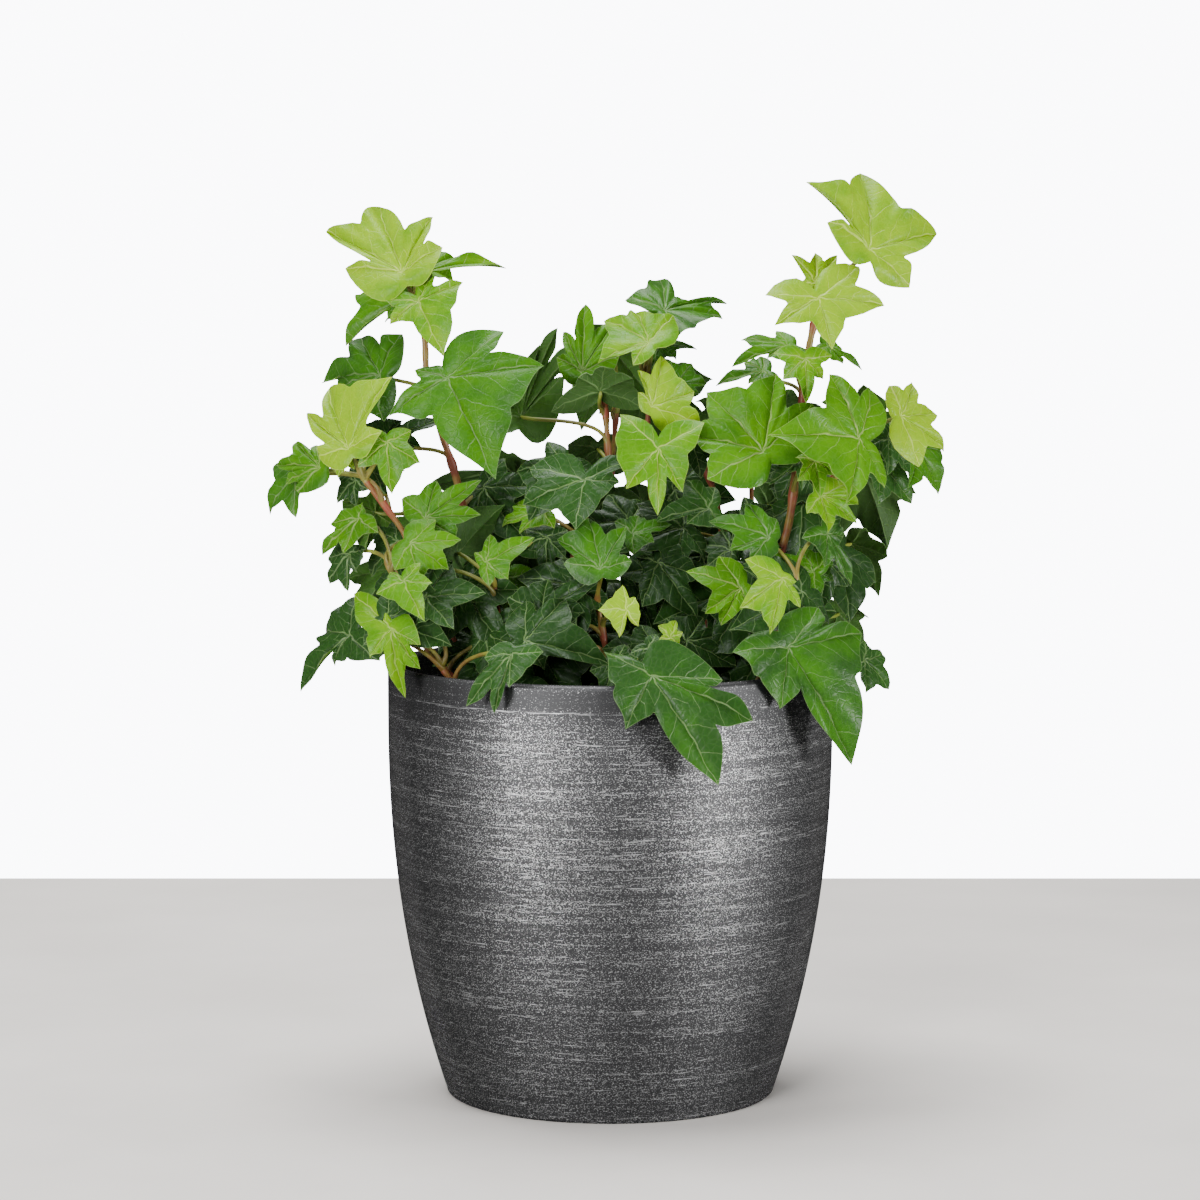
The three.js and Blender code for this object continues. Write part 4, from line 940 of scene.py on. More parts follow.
@dataclass(frozen=True)
class InnerLeaves:
    """The small old leaves inside the plant, close to the stems, which the part leaves out. Places are
    drawn along each stem's route, and one that would crowd another leaf is drawn again."""

    seed: int = 11
    wanted: int = 5
    draws: int = 60
    low: float = 0.3
    high: float = 0.8
    nearest: float = 5.0
    furthest: float = 19.0
    lowest: float = 117.0
    highest: float = 192.0
    widest: float = 68.0
    narrowest: float = 50.0
    rim: float = 148.0
    apart: float = 11.0
    sizes: Span = (15.0, 25.0)
    ages: Span = (0.72, 1.0)
    spots: int = 30  # points of a route that a leaf may start from
    lift: Span = (3.0, 9.0)  # the least rise from there, and how much more at most
    turn: float = 200.0
    down: float = 0.9
    facing_right: float = 0.9
    facing_up: Span = (0.3, 0.5)  # the least, and how much more at most
    far_facing_up: float = -0.5
    front_half: float = 22.0  # the depth up to which leaves face the front

    def add_to(self, plans: Sequence[StemPlan]) -> list[StemPlan]:
        """The stems with their inner leaves.

        Args:
            plans: Stems with the leaves that the part has.

        Returns:
            The same stems, each with its own inner leaves.
        """
        numbers = np.random.default_rng(self.seed)
        taken = [self._centre(row) for plan in plans for row in plan.leaves]
        grown = []
        for plan in plans:
            line = catmull_rom(np.array(plan.route, float), np.linspace(self.low, self.high, self.spots))
            rows: list[LeafRow] = []
            for _ in range(self.draws):
                row = self._drawn(line, numbers)
                centre = self._centre(row)
                gap = np.linalg.norm(np.array(taken) - centre, axis=1).min()
                if len(rows) < self.wanted and self._inside(centre) and gap > self.apart:
                    taken.append(centre)
                    rows.append(row)
            grown.append(replace(plan, inner_leaves=rows))
        return grown

    def _inside(self, centre: Array) -> bool:
        """Whether a leaf there stays over the soil and within the crown, or within the pot's rim."""
        widest = self.widest if centre[2] > self.rim else self.narrowest
        return bool(self.lowest < centre[2] < self.highest and np.hypot(*centre[:2]) < widest)

    def _drawn(self, line: Array, numbers: Numbers) -> LeafRow:
        """A leaf off a drawn point of the stem: its junction lies a drawn way out and up, and its tip
        hangs outwards. It shows its upper side to the front only in the plant's front half."""
        foot = line[numbers.integers(len(line))]
        way = numbers.random() * 2 * np.pi
        reach = self.nearest + (self.furthest - self.nearest) * numbers.random()
        lift, more = self.lift
        rise = lift + more * numbers.random()
        place = foot + np.array([reach * np.cos(way), reach * np.sin(way), rise])
        low, high = self.sizes
        length = low + (high - low) * numbers.random()
        heading = np.radians(180 + self.turn * (numbers.random() - 0.5))
        youngest, oldest = self.ages
        age = youngest + (oldest - youngest) * numbers.random()
        right = self.facing_right * (numbers.random() - 0.5)
        grow = 1 + place[1] / EYE_DISTANCE
        x, z = place[0] / grow, EYE_HEIGHT + (place[2] - EYE_HEIGHT) / grow
        tip = (x + length * math.sin(heading), z + self.down * length * math.cos(heading))
        if place[1] > self.front_half:
            return turned(x, z, place[1], right, self.far_facing_up, age, tip)
        least, more = self.facing_up
        return leaf(x, z, place[1], right, least + more * numbers.random(), age, tip)

    @staticmethod
    def _centre(row: LeafRow) -> Array:
        """The real place midway from a leaf's junction to its middle tip, at the junction's depth."""
        middle = row.tips[len(row.tips) // 2]
        return sighted((row.x + middle[0]) / 2, row.depth, (row.z + middle[1]) / 2)


# --- Leaf blades ---


def polar(angle: Array, reach: Array) -> Array:
    """Flat points: reach times the sine of the angle across, and times its cosine along."""
    return np.stack([reach * np.sin(angle), reach * np.cos(angle)], axis=-1)


@dataclass(frozen=True)
class BladeForm:
    """The form of an ivy blade, as shares of its middle lobe's length and degrees from its vein."""

    side_angle: float = 54.0
    side_reach: float = 0.76
    base_angle: float = 112.0
    base_reach: float = 0.52
    given_angle: float = 12.0
    base_spread: float = 45.0
    widest_base: float = 150.0
    sinus_reach: float = 0.13
    back_reach: float = 0.6
    fold: float = 0.16
    notch_lift: float = 0.1
    droop: float = 0.1
    added_droop: float = 0.1

    def droop_of(self, reach: Array, length: float, age: float) -> Array:
        """Fall below the flat plane: the reach squared over the length, more for older leaves."""
        return (self.droop + self.added_droop * age) * reach * reach / length


@dataclass
class Blade:
    """A leaf blade in its place: its own axes, and its lobes' angles from the middle vein and reaches."""

    row: LeafRow
    junction: Array
    front: Array
    along: Array
    length: float
    angles: Array
    reaches: Array
    form: BladeForm

    @classmethod
    def placed(cls, row: LeafRow, depth: float, form: BladeForm) -> "Blade":
        """The blade of a row at a depth. A seen offset (dx, dz) lies in the blade's plane at the depth
        right times dx plus up times dz.

        Args:
            row: The leaf as seen from the front.
            depth: The real depth of its junction.
            form: The plain form of the lobes that the row leaves out.

        Returns:
            The blade with all its lobes in order of their angles.
        """
        grow = 1 + depth / EYE_DISTANCE
        seen = (np.array(row.tips) - [row.x, row.z]) * grow
        tips = np.stack([seen[:, 0], seen @ [row.right, row.up], seen[:, 1]], axis=1)
        middle = tips[len(tips) // 2]
        front = unit(np.array([row.right, -1.0, row.up]))
        along = unit(middle)
        across = np.cross(along, front)
        angles = np.arctan2(tips @ across, tips @ along)
        length = float(np.linalg.norm(middle))
        lobes = list(zip(angles, np.linalg.norm(tips, axis=1)))
        degrees = (form.given_angle, form.side_angle, form.base_angle, form.base_spread, form.widest_base)
        given_angle, side_angle, base_angle, spread, widest_base = map(math.radians, degrees)
        for side in (-1, 1):
            given = [angle * side for angle, _ in lobes if angle * side > given_angle]
            if not given:
                lobes.append((side * side_angle, form.side_reach * length))
            if len(given) < 2:
                behind = min(max([*given, side_angle]) + spread, widest_base)
                lobes.append((side * max(base_angle, behind), form.base_reach * length))
        angles, reaches = np.array(sorted(lobes)).T
        return cls(row, sighted(row.x, depth, row.z), front, along, length, angles, reaches, form)

    @property
    def across(self) -> Array:
        """The direction to the right of the middle vein, seen from the front."""
        return np.cross(self.along, self.front)

    @property
    def upper(self) -> Array:
        """The direction that the leaf's upper side faces."""
        return self.front * self.row.side.value

    def in_space(self, flat: Array, height: Array, lift: Array) -> Array:
        """Flat points across and along, at a height on the upper side, lifted towards the front."""
        spread = flat[..., :1] * self.across + flat[..., 1:] * self.along
        return self.junction + spread + height[..., None] * self.upper + lift[..., None] * self.front

    def tips(self) -> Array:
        """The lobes' tips in space."""
        flat = polar(self.angles, self.reaches)
        fold = self.form.fold * (1 - self.row.age) * np.abs(flat[:, 0])
        height = fold - self.form.droop_of(self.reaches, self.length, self.row.age)
        return self.in_space(flat, height, np.zeros(len(flat)))


@dataclass(frozen=True)
class BladeSurface:
    """Makes a blade's thin closed surface: rings from the junction out to a smooth lobed outline."""

    thickness: float = 0.5
    margin_thickness: float = 0.26
    samples_per_millimetre: float = 0.3
    fewest_samples: int = 5
    most_samples: int = 11
    rings: tuple[float, ...] = (0.1, 0.22, 0.36, 0.5, 0.64, 0.78, 0.9, 0.97, 1.0)
    notch_reach: Span = (0.58, 0.84)  # deepest and shallowest, of the lower lobe's reach
    notch_pull: float = 0.42
    tip_pull: float = 0.38
    tip_bulge: float = 0.135
    young_notch: float = 0.1  # how much deeper the notches of the youngest leaf are
    young_point: float = 0.4  # how much less its tips bulge, which makes them keener
    wave: float = 1.1  # millimetres that the margin waves up and down
    curl: float = 3.0  # millimetres that the lobes' tips curl down, at most
    quilt: float = 0.55  # millimetres that the skin rises between the veins
    twist: float = 0.12
    full_length: float = 30.0  # the length from which waves, quilt and curl are full
    waves: tuple[int, ...] = (5, 8, 13)  # waves round the margin
    smoothing: Span = (0.12, 0.38)  # of the outline, and how much more at a notch
    outwards: float = 0.65  # how far a notch's curve starts outwards, and not straight to the tip
    back_pull: float = 0.24

    def outline(self, blade: Blade, numbers: Numbers) -> tuple[Array, Array, Array]:
        """The lobed outline: two Bezier curves for each lobe, out from a round notch to the pointed tip
        and back. A notch's curve starts mostly outwards, and a tip's bulges away from the vein.

        Args:
            blade: The blade in its place.
            numbers: Seeded random numbers for the notches' depths.

        Returns:
            The outline's flat points, each one's rise from a vein (0) to a notch (1), and its lobe.
        """
        form = blade.form
        tips = polar(blade.angles, blade.reaches)
        between = (blade.angles[1:] + blade.angles[:-1]) / 2
        lower = np.minimum(blade.reaches[1:], blade.reaches[:-1])
        deepest, shallowest = self.notch_reach
        youth = (1 - blade.row.age) ** 3
        depths = deepest + (shallowest - deepest) * numbers.random(len(lower)) - self.young_notch * youth
        bulge = self.tip_bulge * (1 - self.young_point * youth)
        notches = polar(between, depths * lower)
        sinus = np.array([[0.0, -form.sinus_reach * blade.length]])
        feet = np.vstack([sinus, notches, sinus])
        count = len(tips)
        samples = int(blade.length * self.samples_per_millimetre)
        samples = max(self.fewest_samples, min(self.most_samples, samples))
        shares = np.arange(samples) / samples
        spans = []
        for side, start in ((-1, feet[:-1]), (1, feet[1:])):
            controls = self._side_controls(start, tips, side, bulge)
            first, last = (0, 1) if side < 0 else (count - 1, count)
            controls[first:last] = self._back_controls(blade, start[first:last], tips[first:last], side)
            spans.append(controls if side < 0 else controls[:, ::-1])
        points = bezier(np.stack(spans, axis=1).reshape(-1, 4, 2), shares).reshape(-1, 2)
        highest = np.ones((count, 2))
        highest[0, 0] = highest[-1, 1] = 0.5
        from_tip = np.stack([1 - shares, shares])
        rise = (highest[:, :, None] * (1 - (1 - from_tip) ** 2)).ravel()
        neighbours = (np.roll(points, 1, axis=0) + np.roll(points, -1, axis=0)) / 2
        least, more = self.smoothing
        points = points + (least + more * rise[:, None]) * (neighbours - points)
        return points, rise, np.repeat(np.arange(count), 2 * samples)

    def _side_controls(self, notches: Array, tips: Array, side: int, bulge: float) -> Array:
        """Bezier controls from each notch to its tip, on one side of the tips' veins, from which they
        bulge by a share of the reach."""
        chord = tips - notches
        reach = np.linalg.norm(chord, axis=1, keepdims=True)
        start_way = unit(self.outwards * unit(notches) + (1 - self.outwards) * unit(chord))
        away = side * unit(tips) @ np.array([[0.0, -1.0], [1.0, 0.0]])
        size = np.linalg.norm(tips, axis=1, keepdims=True)
        after_notch = notches + self.notch_pull * reach * start_way
        before_tip = tips - self.tip_pull * reach * unit(tips) + bulge * size * away
        return np.stack([notches, after_notch, before_tip, tips], axis=1)

    def _back_controls(self, blade: Blade, sinus: Array, tip: Array, side: int) -> Array:
        """Bezier controls from the sinus round the back of a base lobe: halfway it passes the lobe's
        back, at the angle midway to the sinus and a set share of the lobe's reach."""
        lobe = 0 if side < 0 else -1
        angle = (blade.angles[lobe] + side * np.pi) / 2
        back = polar(angle, blade.form.back_reach * blade.reaches[lobe])
        middle = (8 * back - sinus - tip) / 6
        pull = self.back_pull * (tip - sinus)
        return np.stack([sinus, middle - pull, middle + pull, tip], axis=1)

    def surface(self, blade: Blade, numbers: Numbers) -> Surface:
        """The blade's closed surface with its vein and margin maps.

        Args:
            blade: The blade in its place.
            numbers: Seeded random numbers for its waves, curl and tone.

        Returns:
            A surface with the maps "vein" (millimetres along and across the lobe's vein) and "margin"
            (share of the way to the margin, and the lobe's reach), and tones of age, side and chance.
        """
        outline, rise, lobe = self.outline(blade, numbers)
        share = np.array(self.rings)[:, None]
        flat = share[..., None] * outline
        height = self._height(blade, flat, share, rise, numbers)
        half = 0.5 * (self.thickness + (self.margin_thickness - self.thickness) * share**3)
        half = np.broadcast_to(half, height.shape)
        points = []
        for way in (1, -1):
            lift = np.array([way * 0.5 * self.thickness])
            points.append(blade.in_space(np.zeros((1, 2)), np.zeros(1), lift))
            points.append(blade.in_space(flat, height, way * half).reshape(-1, 3))
        quads, triangles, places, starts = self._faces(len(outline))
        maps = self._maps(blade, outline, lobe, places, starts)
        per_side = 1 + len(self.rings) * len(outline)
        front_is_under = blade.row.side is Side.UNDER
        tones = np.empty((2 * per_side, 3))
        tones[:, 0] = blade.row.age
        tones[:, 1] = np.repeat([front_is_under, not front_is_under], per_side)
        tones[:, 2] = numbers.random()
        return Surface(np.vstack(points), quads, triangles, maps, tones)

    def _height(
        self, blade: Blade, flat: Array, share: Array, rise: Array, numbers: Numbers
    ) -> Array:
        """Height over the flat plane: the fold along the middle vein, plus the lift towards the notches,
        less the droop, plus waves that grow to the margin, plus the quilted rise between the veins, less
        the curl of the tips, plus a twist."""
        row, form = blade.row, blade.form
        reach = np.linalg.norm(flat, axis=-1)
        fold = form.fold * (1 - row.age) * (np.sqrt(flat[..., 0] ** 2 + 1) - 1)
        lift = form.notch_lift * reach * rise
        turns = 2 * np.pi * np.arange(flat.shape[1]) / flat.shape[1]
        size = min(1.0, blade.length / self.full_length)
        phases = numbers.random(3) * 2 * np.pi
        waves = sum(np.sin(k * turns + phase) for k, phase in zip(self.waves, phases)) / 2
        wave = self.wave * size * share**4 * waves
        between = np.sin(np.pi * np.clip(share, 0, 1))
        quilt = self.quilt * size * between * np.sin(np.pi * np.clip(rise, 0, 1))
        curl = self.curl * size * (0.2 + 0.8 * numbers.random()) * share**3 * (1 - rise) ** 2
        twist = self.twist * (numbers.random() - 0.5) * flat[..., 0] * flat[..., 1] / blade.length
        return fold + lift - form.droop_of(reach, blade.length, row.age) + wave + quilt - curl + twist

    def _faces(self, count: int) -> tuple[Array, Array, Array, Array]:
        """Faces of both sides and of the margin between them.

        Args:
            count: Points round the outline.

        Returns:
            Quads, triangles, and for each of their corners its ring (-1 at the junction) and its place
            round the outline, which runs on to count at the seam; then the place where its face starts.
        """
        rings = len(self.rings)
        total = 1 + rings * count
        grid = np.indices((rings - 1, count)).reshape(2, -1).T
        edge = np.arange(count)
        front = grid[:, None] + [[1, 1], [1, 0], [0, 0], [0, 1]]
        margin = np.stack(np.broadcast_arrays(rings - 1, edge[:, None] + [0, 1, 1, 0]), axis=-1)
        fan = np.stack(np.broadcast_arrays([-1, 0, 0], edge[:, None] + [0, 1, 0]), axis=-1)
        back, back_fan = front[:, ::-1], fan[:, ::-1]

        def number(at: Array) -> Array:
            """The numbers of the points at rings and places, which is 0 at the junction."""
            return np.where(at[..., 0] < 0, 0, 1 + at[..., 0] * count + at[..., 1] % count)

        quads = [number(front), number(back) + total, number(margin) + [0, 0, total, total]]
        triangles = [number(fan), number(back_fan) + total]
        places = [corners.reshape(-1, 2) for corners in (front, back, margin, fan, back_fan)]
        around = grid[:, 1]
        faces = ((around, 4), (around, 4), (edge, 4), (edge, 3), (edge, 3))
        starts = [np.repeat(place, sides) for place, sides in faces]
        return np.vstack(quads), np.vstack(triangles), np.vstack(places), np.concatenate(starts)

    def _maps(
        self, blade: Blade, outline: Array, lobe: Array, places: Array, starts: Array
    ) -> dict[str, Array]:
        """The vein map turns each flat corner by its lobe's angle, so that the lobe's vein runs along
        the first axis. The margin map holds the corner's ring as a share, and the lobe's reach."""
        share = np.concatenate([self.rings, [0.0]])[places[:, 0]]
        flat = share[:, None] * outline[places[:, 1] % len(outline)]
        of_lobe = lobe[starts]
        angle = blade.angles[of_lobe]
        along = flat[:, 0] * np.sin(angle) + flat[:, 1] * np.cos(angle)
        across = flat[:, 0] * np.cos(angle) - flat[:, 1] * np.sin(angle)
        return {
            "vein": np.stack([along, across], axis=1),
            "margin": np.stack([share, blade.reaches[of_lobe]], axis=1),
        }


# --- Stems and petioles ---


ACROSS_STEMS = (0.31, 0.95, 0.05)  # a direction that no stem or stalk starts out along


def closed_tube(path: Array, radii: Array, around: int, tone: Array) -> Surface:
    """A closed tube along a path, with a point at each end. Each ring is a circle square to the path,
    and its first direction across is carried along the path and made square again at every point.

    Args:
        path: Points of the middle line, shaped (rings, 3).
        radii: The radius at each point.
        around: The number of facets round it.
        tone: The tone at each point, shaped (rings, 3).

    Returns:
        A surface with the map "vein": millimetres along the tube, and millimetres round it.
    """
    along = unit(np.gradient(path, axis=0))
    across = np.empty_like(path)
    side = np.cross(along[0], ACROSS_STEMS)
    for index, direction in enumerate(along):
        side = side - direction * (side @ direction)
        side = side / np.linalg.norm(side)
        across[index] = side
    shares = np.arange(around) / around
    turn = 2 * np.pi * shares[:, None]
    circle = np.cos(turn) * across[:, None] + np.sin(turn) * np.cross(along, across)[:, None]
    points = (path[:, None] + radii[:, None, None] * circle).reshape(-1, 3)
    rings = len(path)
    ends = np.vstack([path[:1], path[-1:]])
    quads = ring_quads(rings, around)
    triangles = end_fans(rings, around, len(points), len(points) + 1)
    travelled = travelled_along(path)
    girth = 2 * np.pi * radii.mean()
    steps = np.append(travelled, [travelled[0], travelled[-1]])
    turns = np.append(np.tile(shares, rings), [0.5, 0.5]) * girth
    ring_of = np.append(np.repeat(np.arange(rings), around), [rings, rings + 1])
    corners = np.concatenate([quads.ravel(), triangles.ravel()])
    turned_by = turns[corners]
    at_seam = np.repeat(np.ptp(quads, axis=1) >= 2 * around - 1, 4)
    at_seam = np.concatenate([at_seam, np.zeros(triangles.size, bool)])
    turned_by = np.where(at_seam & (turned_by < girth / 2), turned_by + girth, turned_by)
    places = np.stack([steps[ring_of[corners]], turned_by], axis=1)
    tones = np.vstack([np.repeat(tone, around, axis=0), tone[:1], tone[-1:]])
    return Surface(np.vstack([points, ends]), quads, triangles, {"vein": places}, tones)


@dataclass(frozen=True)
class PetioleForm:
    """How a leaf stalk leaves its stem and reaches its blade, with pulls as shares of its run."""

    seat: float = 1.5
    drop: float = 8.0
    lowest: float = 114.0
    rise: float = 0.35
    under: float = 0.3
    back: float = 0.12
    radius: float = 0.64
    foot_radius: float = 1.15
    foot_length: float = 3.0
    end_taper: float = 0.45  # how much thinner it ends under the blade
    end_share: float = 0.93  # the share of its run at which that begins
    short_weight: float = 1.5
    rings: int = 18
    around: int = 8
    bows: tuple[tuple[float, float], ...] = (
        (0, 0), (0, -0.3), (0, 0.3), (-0.3, 0), (0.3, 0), (-0.3, -0.3), (0.3, -0.3)
    )

    def foot(self, stem_points: Array, junction: Array) -> Array:
        """The point of the stem above the soil that lies nearest the junction, where each millimetre
        short of the usual drop counts as a few more."""
        spots = stem_points[stem_points[:, 2] > self.lowest]
        short = np.maximum(0, self.drop - (junction[2] - spots[:, 2]))
        return spots[np.argmin(np.linalg.norm(spots - junction, axis=1) + self.short_weight * short)]

    def controls(self, blade: Blade, foot: Array, bow: Sequence[float], seat: float) -> Array:
        """Bezier controls: up from the foot with a sideways bow, and to the blade from under it.

        Args:
            blade: The blade that the petiole carries.
            foot: Where it leaves the stem's middle line.
            bow: Its sideways pull across and in depth.
            seat: How far behind the junction it ends.

        Returns:
            Four control points.
        """
        run = np.linalg.norm(foot - blade.junction)
        start = foot + run * np.array([bow[0], bow[1], self.rise])
        end = blade.junction - seat * blade.along
        before = end - self.under * run * blade.upper - self.back * run * blade.along
        return np.array([foot, start, before, end])

    def surface(self, controls: Array, redness: float, chance: float) -> Surface:
        """The stalk: swollen where it leaves the stem, slim along its run, and drawn out thin under the
        blade's middle vein.

        Args:
            controls: Its Bezier controls.
            redness: How red its foot is, from 0 to 1.
            chance: A random number that its tone takes.

        Returns:
            The stalk's closed surface.
        """
        path = evenly_spaced(bezier(controls, np.linspace(0, 1, 60)), self.rings)
        travelled = np.linspace(0, 1, self.rings)
        length = steps_along(path).sum()
        swell = np.exp(-((travelled * length / self.foot_length) ** 2))
        radii = self.radius + (self.foot_radius - self.radius) * swell
        radii *= 1 - self.end_taper * smooth_step(self.end_share, 1.0, travelled)
        reds = redness * (1 - 0.7 * travelled)
        tone = np.stack([reds, 0.35 + 0.65 * travelled, np.full(self.rings, chance)], axis=1)
        return closed_tube(path, radii, self.around, tone)


@dataclass(frozen=True)
class StemForm:
    """How a stem's own surface is made: a taper, a swollen joint at each leaf, and a bud at its end."""

    girth: float = 0.78  # of the part's stem, which is kept sturdy
    taper: float = 0.36
    joint_swell: float = 0.42
    joint_length: float = 2.4
    step: float = 1.6
    around: int = 14
    bud_length: float = 3.2
    bud_radius: float = 1.15
    bud_rings: int = 9
    bud_around: int = 8
    top_taper: float = 0.55
    ridges: tuple[tuple[float, float], ...] = ((0.05, 0.9), (0.03, 2.3))  # heights, and turns by length

    def surface(self, plan: StemPlan, feet: Array, chance: float) -> Surface:
        """The stem: its radius tapers to the top and swells at each leaf's foot, and its line steps a
        little aside between them.

        Args:
            plan: The stem's radius and route.
            feet: The feet of its leaves.
            chance: A random number that its tone takes.

        Returns:
            The stem's closed surface.
        """
        line = catmull_rom(np.array(plan.route, float), np.linspace(0, 1, 400))
        length = steps_along(line).sum()
        path = evenly_spaced(line, int(length / self.step))
        share = np.linspace(0, 1, len(path))
        away = np.linalg.norm(path[:, None] - feet[None], axis=2).min(axis=1)
        joint = np.exp(-((away / self.joint_length) ** 2))
        radii = self.girth * plan.radius * (1 - self.taper * share) + self.joint_swell * joint
        ridges = sum(height * np.sin(share * length * turn) for height, turn in self.ridges)
        radii = (radii + ridges) * (1 - smooth_step(0.985, 1.0, share) * self.top_taper)
        redness = 0.25 + 0.75 * smooth_step(0.12, 0.45, share)
        tone = np.stack([redness, 0.3 * (1 - joint), np.full(len(path), chance)], axis=1)
        return closed_tube(path, radii, self.around, tone)

    def bud(self, foot: Array, way: Array, size: float, chance: float) -> Surface:
        """A pointed bud: its radius is the sine of the square root of the way along it, drawn in at the
        tip.

        Args:
            foot: Where the bud sits.
            way: The direction that it points.
            size: Its size as a share of the plain one.
            chance: A random number that its tone takes.

        Returns:
            The bud's closed surface.
        """
        share = np.linspace(0, 1, self.bud_rings)
        path = foot + size * self.bud_length * share[:, None] * unit(way)
        radii = size * self.bud_radius * np.sin(np.pi * np.sqrt(0.12 + 0.86 * share)) ** 0.8
        tone = np.stack([0.35 - 0.3 * share, 0.5 + 0.5 * share, np.full(len(share), chance)], axis=1)
        return closed_tube(path, radii, self.bud_around, tone)


@dataclass
class LeafyStem:
    """One leafy stem of the plant: its wood, petioles, buds and blades in place of the part's node."""

    plan: StemPlan
    seed: int
    blade_form: BladeForm = field(default_factory=BladeForm)
    blade_surface: BladeSurface = field(default_factory=BladeSurface)
    petiole_form: PetioleForm = field(default_factory=PetioleForm)
    stem_form: StemForm = field(default_factory=StemForm)
    step_back: float = 2.5
    step_count: int = 14
    bud_size: float = 0.6  # of the buds at the leaves' feet, next to the one at the top
    bud_rise: float = 6.0  # how much more such a bud points up than its stalk
    bud_seat: float = 0.7  # how far it sits from the stem's middle line, in radii
    sunk: float = 0.3  # how far a stalk ends under its blade's middle plane, in thicknesses
    half_node_blade: float = 0.45  # half the thickness of the part's blades

    def build(self, leaf_finish: Material, bark_finish: Material) -> None:
        """Makes the stem's two pieces and sets them in place of its node.

        Args:
            leaf_finish: The material of the blades.
            bark_finish: The material of the stem, petioles and buds.
        """
        numbers = np.random.default_rng(self.seed)
        node_points = self._node_points()
        line = catmull_rom(np.array(self.plan.route, float), np.linspace(0, 1, 41))
        blades, stalks, feet = [], [], []
        worst = 0.0
        for row in [*self.plan.leaves, *self.plan.inner_leaves]:
            blade, foot, bow, miss = self._settled(row, line, node_points)
            controls = self.petiole_form.controls(blade, foot, bow, 0.0)
            controls[3] -= self.sunk * self.blade_surface.thickness * blade.upper
            stalks.append(self.petiole_form.surface(controls, numbers.random(), numbers.random()))
            way = controls[1] - foot + np.array([0, 0, self.bud_rise])
            seat = foot + self.bud_seat * self.plan.radius * unit(way)
            stalks.append(self.stem_form.bud(seat, way, self.bud_size, numbers.random()))
            blades.append(self.blade_surface.surface(blade, numbers))
            feet.append(foot)
            worst = max(worst, miss)
        stalks.append(self.stem_form.surface(self.plan, np.array(feet), numbers.random()))
        top = np.array(self.plan.route[-1], float)
        way = top - np.array(self.plan.route[-2], float)
        stalks.append(self.stem_form.bud(top - 0.6 * unit(way), way, 1.0, numbers.random()))
        for surfaces, suffix, finish in ((blades, "leaves", leaf_finish), (stalks, "wood", bark_finish)):
            piece = Surface.joined(surfaces).to_object(f"{self.plan.node}_{suffix}")
            set_in_place(piece, finish, self.plan.node)
        log.info("%s: %d leaves, within %.3f mm of the node", self.plan.node, len(blades), worst)

    def _node_points(self) -> Array:
        """The corner points of the part's node, in millimetres."""
        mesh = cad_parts[self.plan.node].data
        points = np.empty(3 * len(mesh.vertices), np.float32)
        mesh.vertices.foreach_get("co", points)
        return points.reshape(-1, 3) / MM

    def _settled(
        self, row: LeafRow, line: Array, node_points: Array
    ) -> tuple[Blade, Array, Sequence[float], float]:
        """A leaf's blade, its petiole's foot and bow, and how far it misses the part's blade. Inner
        leaves, which the part leaves out, stand where their row says."""
        if row in self.plan.inner_leaves:
            blade = Blade.placed(row, row.depth, self.blade_form)
            return blade, self.petiole_form.foot(line, blade.junction), self.petiole_form.bows[0], 0.0
        blade, miss = self._settled_blade(row, node_points)
        foot = self.petiole_form.foot(line, blade.junction)
        return blade, foot, self._settled_bow(blade, foot, node_points), miss

    def _settled_blade(self, row: LeafRow, node_points: Array) -> tuple[Blade, float]:
        """The blade at the depth where the part holds it: of the depths that the part steps through, the
        one whose lobe tips lie nearest the node's corners.

        Args:
            row: The leaf as seen from the front.
            node_points: The node's corners.

        Returns:
            The blade, and the median distance of its tips from the node's corners.
        """
        tries = []
        for step in range(self.step_count):
            away = math.ceil(step / 2) * (1 if step % 2 else -1) * self.step_back
            blade = Blade.placed(row, row.depth + away, self.blade_form)
            faces = blade.tips() + self.half_node_blade * blade.front
            gaps = np.linalg.norm(faces[:, None] - node_points[None], axis=2).min(axis=1)
            tries.append((float(np.median(gaps)), step, blade))
        miss, _, blade = min(tries, key=lambda item: item[:2])
        return blade, miss

    def _settled_bow(self, blade: Blade, foot: Array, node_points: Array) -> Sequence[float]:
        """The petiole's bow in the part: the one whose quarter points lie nearest the node's corners."""

        def miss(bow: Sequence[float]) -> float:
            """The sum of the distances of that bow's quarter points from the node's nearest corners."""
            controls = self.petiole_form.controls(blade, foot, bow, self.petiole_form.seat)
            quarters = evenly_spaced(bezier(controls, np.linspace(0, 1, 200)), 5)[1:4]
            return float(np.linalg.norm(quarters[:, None] - node_points[None], axis=2).min(axis=1).sum())

        return min(self.petiole_form.bows, key=miss)


def set_in_place(piece: bpy.types.Object, finish: Material, node: str) -> None:
    """Gives a piece its finish and makes it ride on the part's body in the place of a node.

    Args:
        piece: The piece.
        finish: Its material.
        node: The node that it stands for.
    """
    piece.data.materials.append(finish)
    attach(piece, BODY)
    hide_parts(node)
    piece.data.validate()
    log.info("%s: %d faces", piece.name, len(piece.data.polygons))


# --- Pots and soil ---


def arc(centre: Sequence[float], radii: Sequence[float], start: float, end: float, count: int) -> Array:
    """Points of an ellipse's arc: the centre plus each half axis times the cosine and sine of angles
    from start to end, in degrees."""
    angles = np.radians(np.linspace(start, end, count))
    return np.stack([centre[0] + radii[0] * np.cos(angles), centre[1] + radii[1] * np.sin(angles)], axis=1)


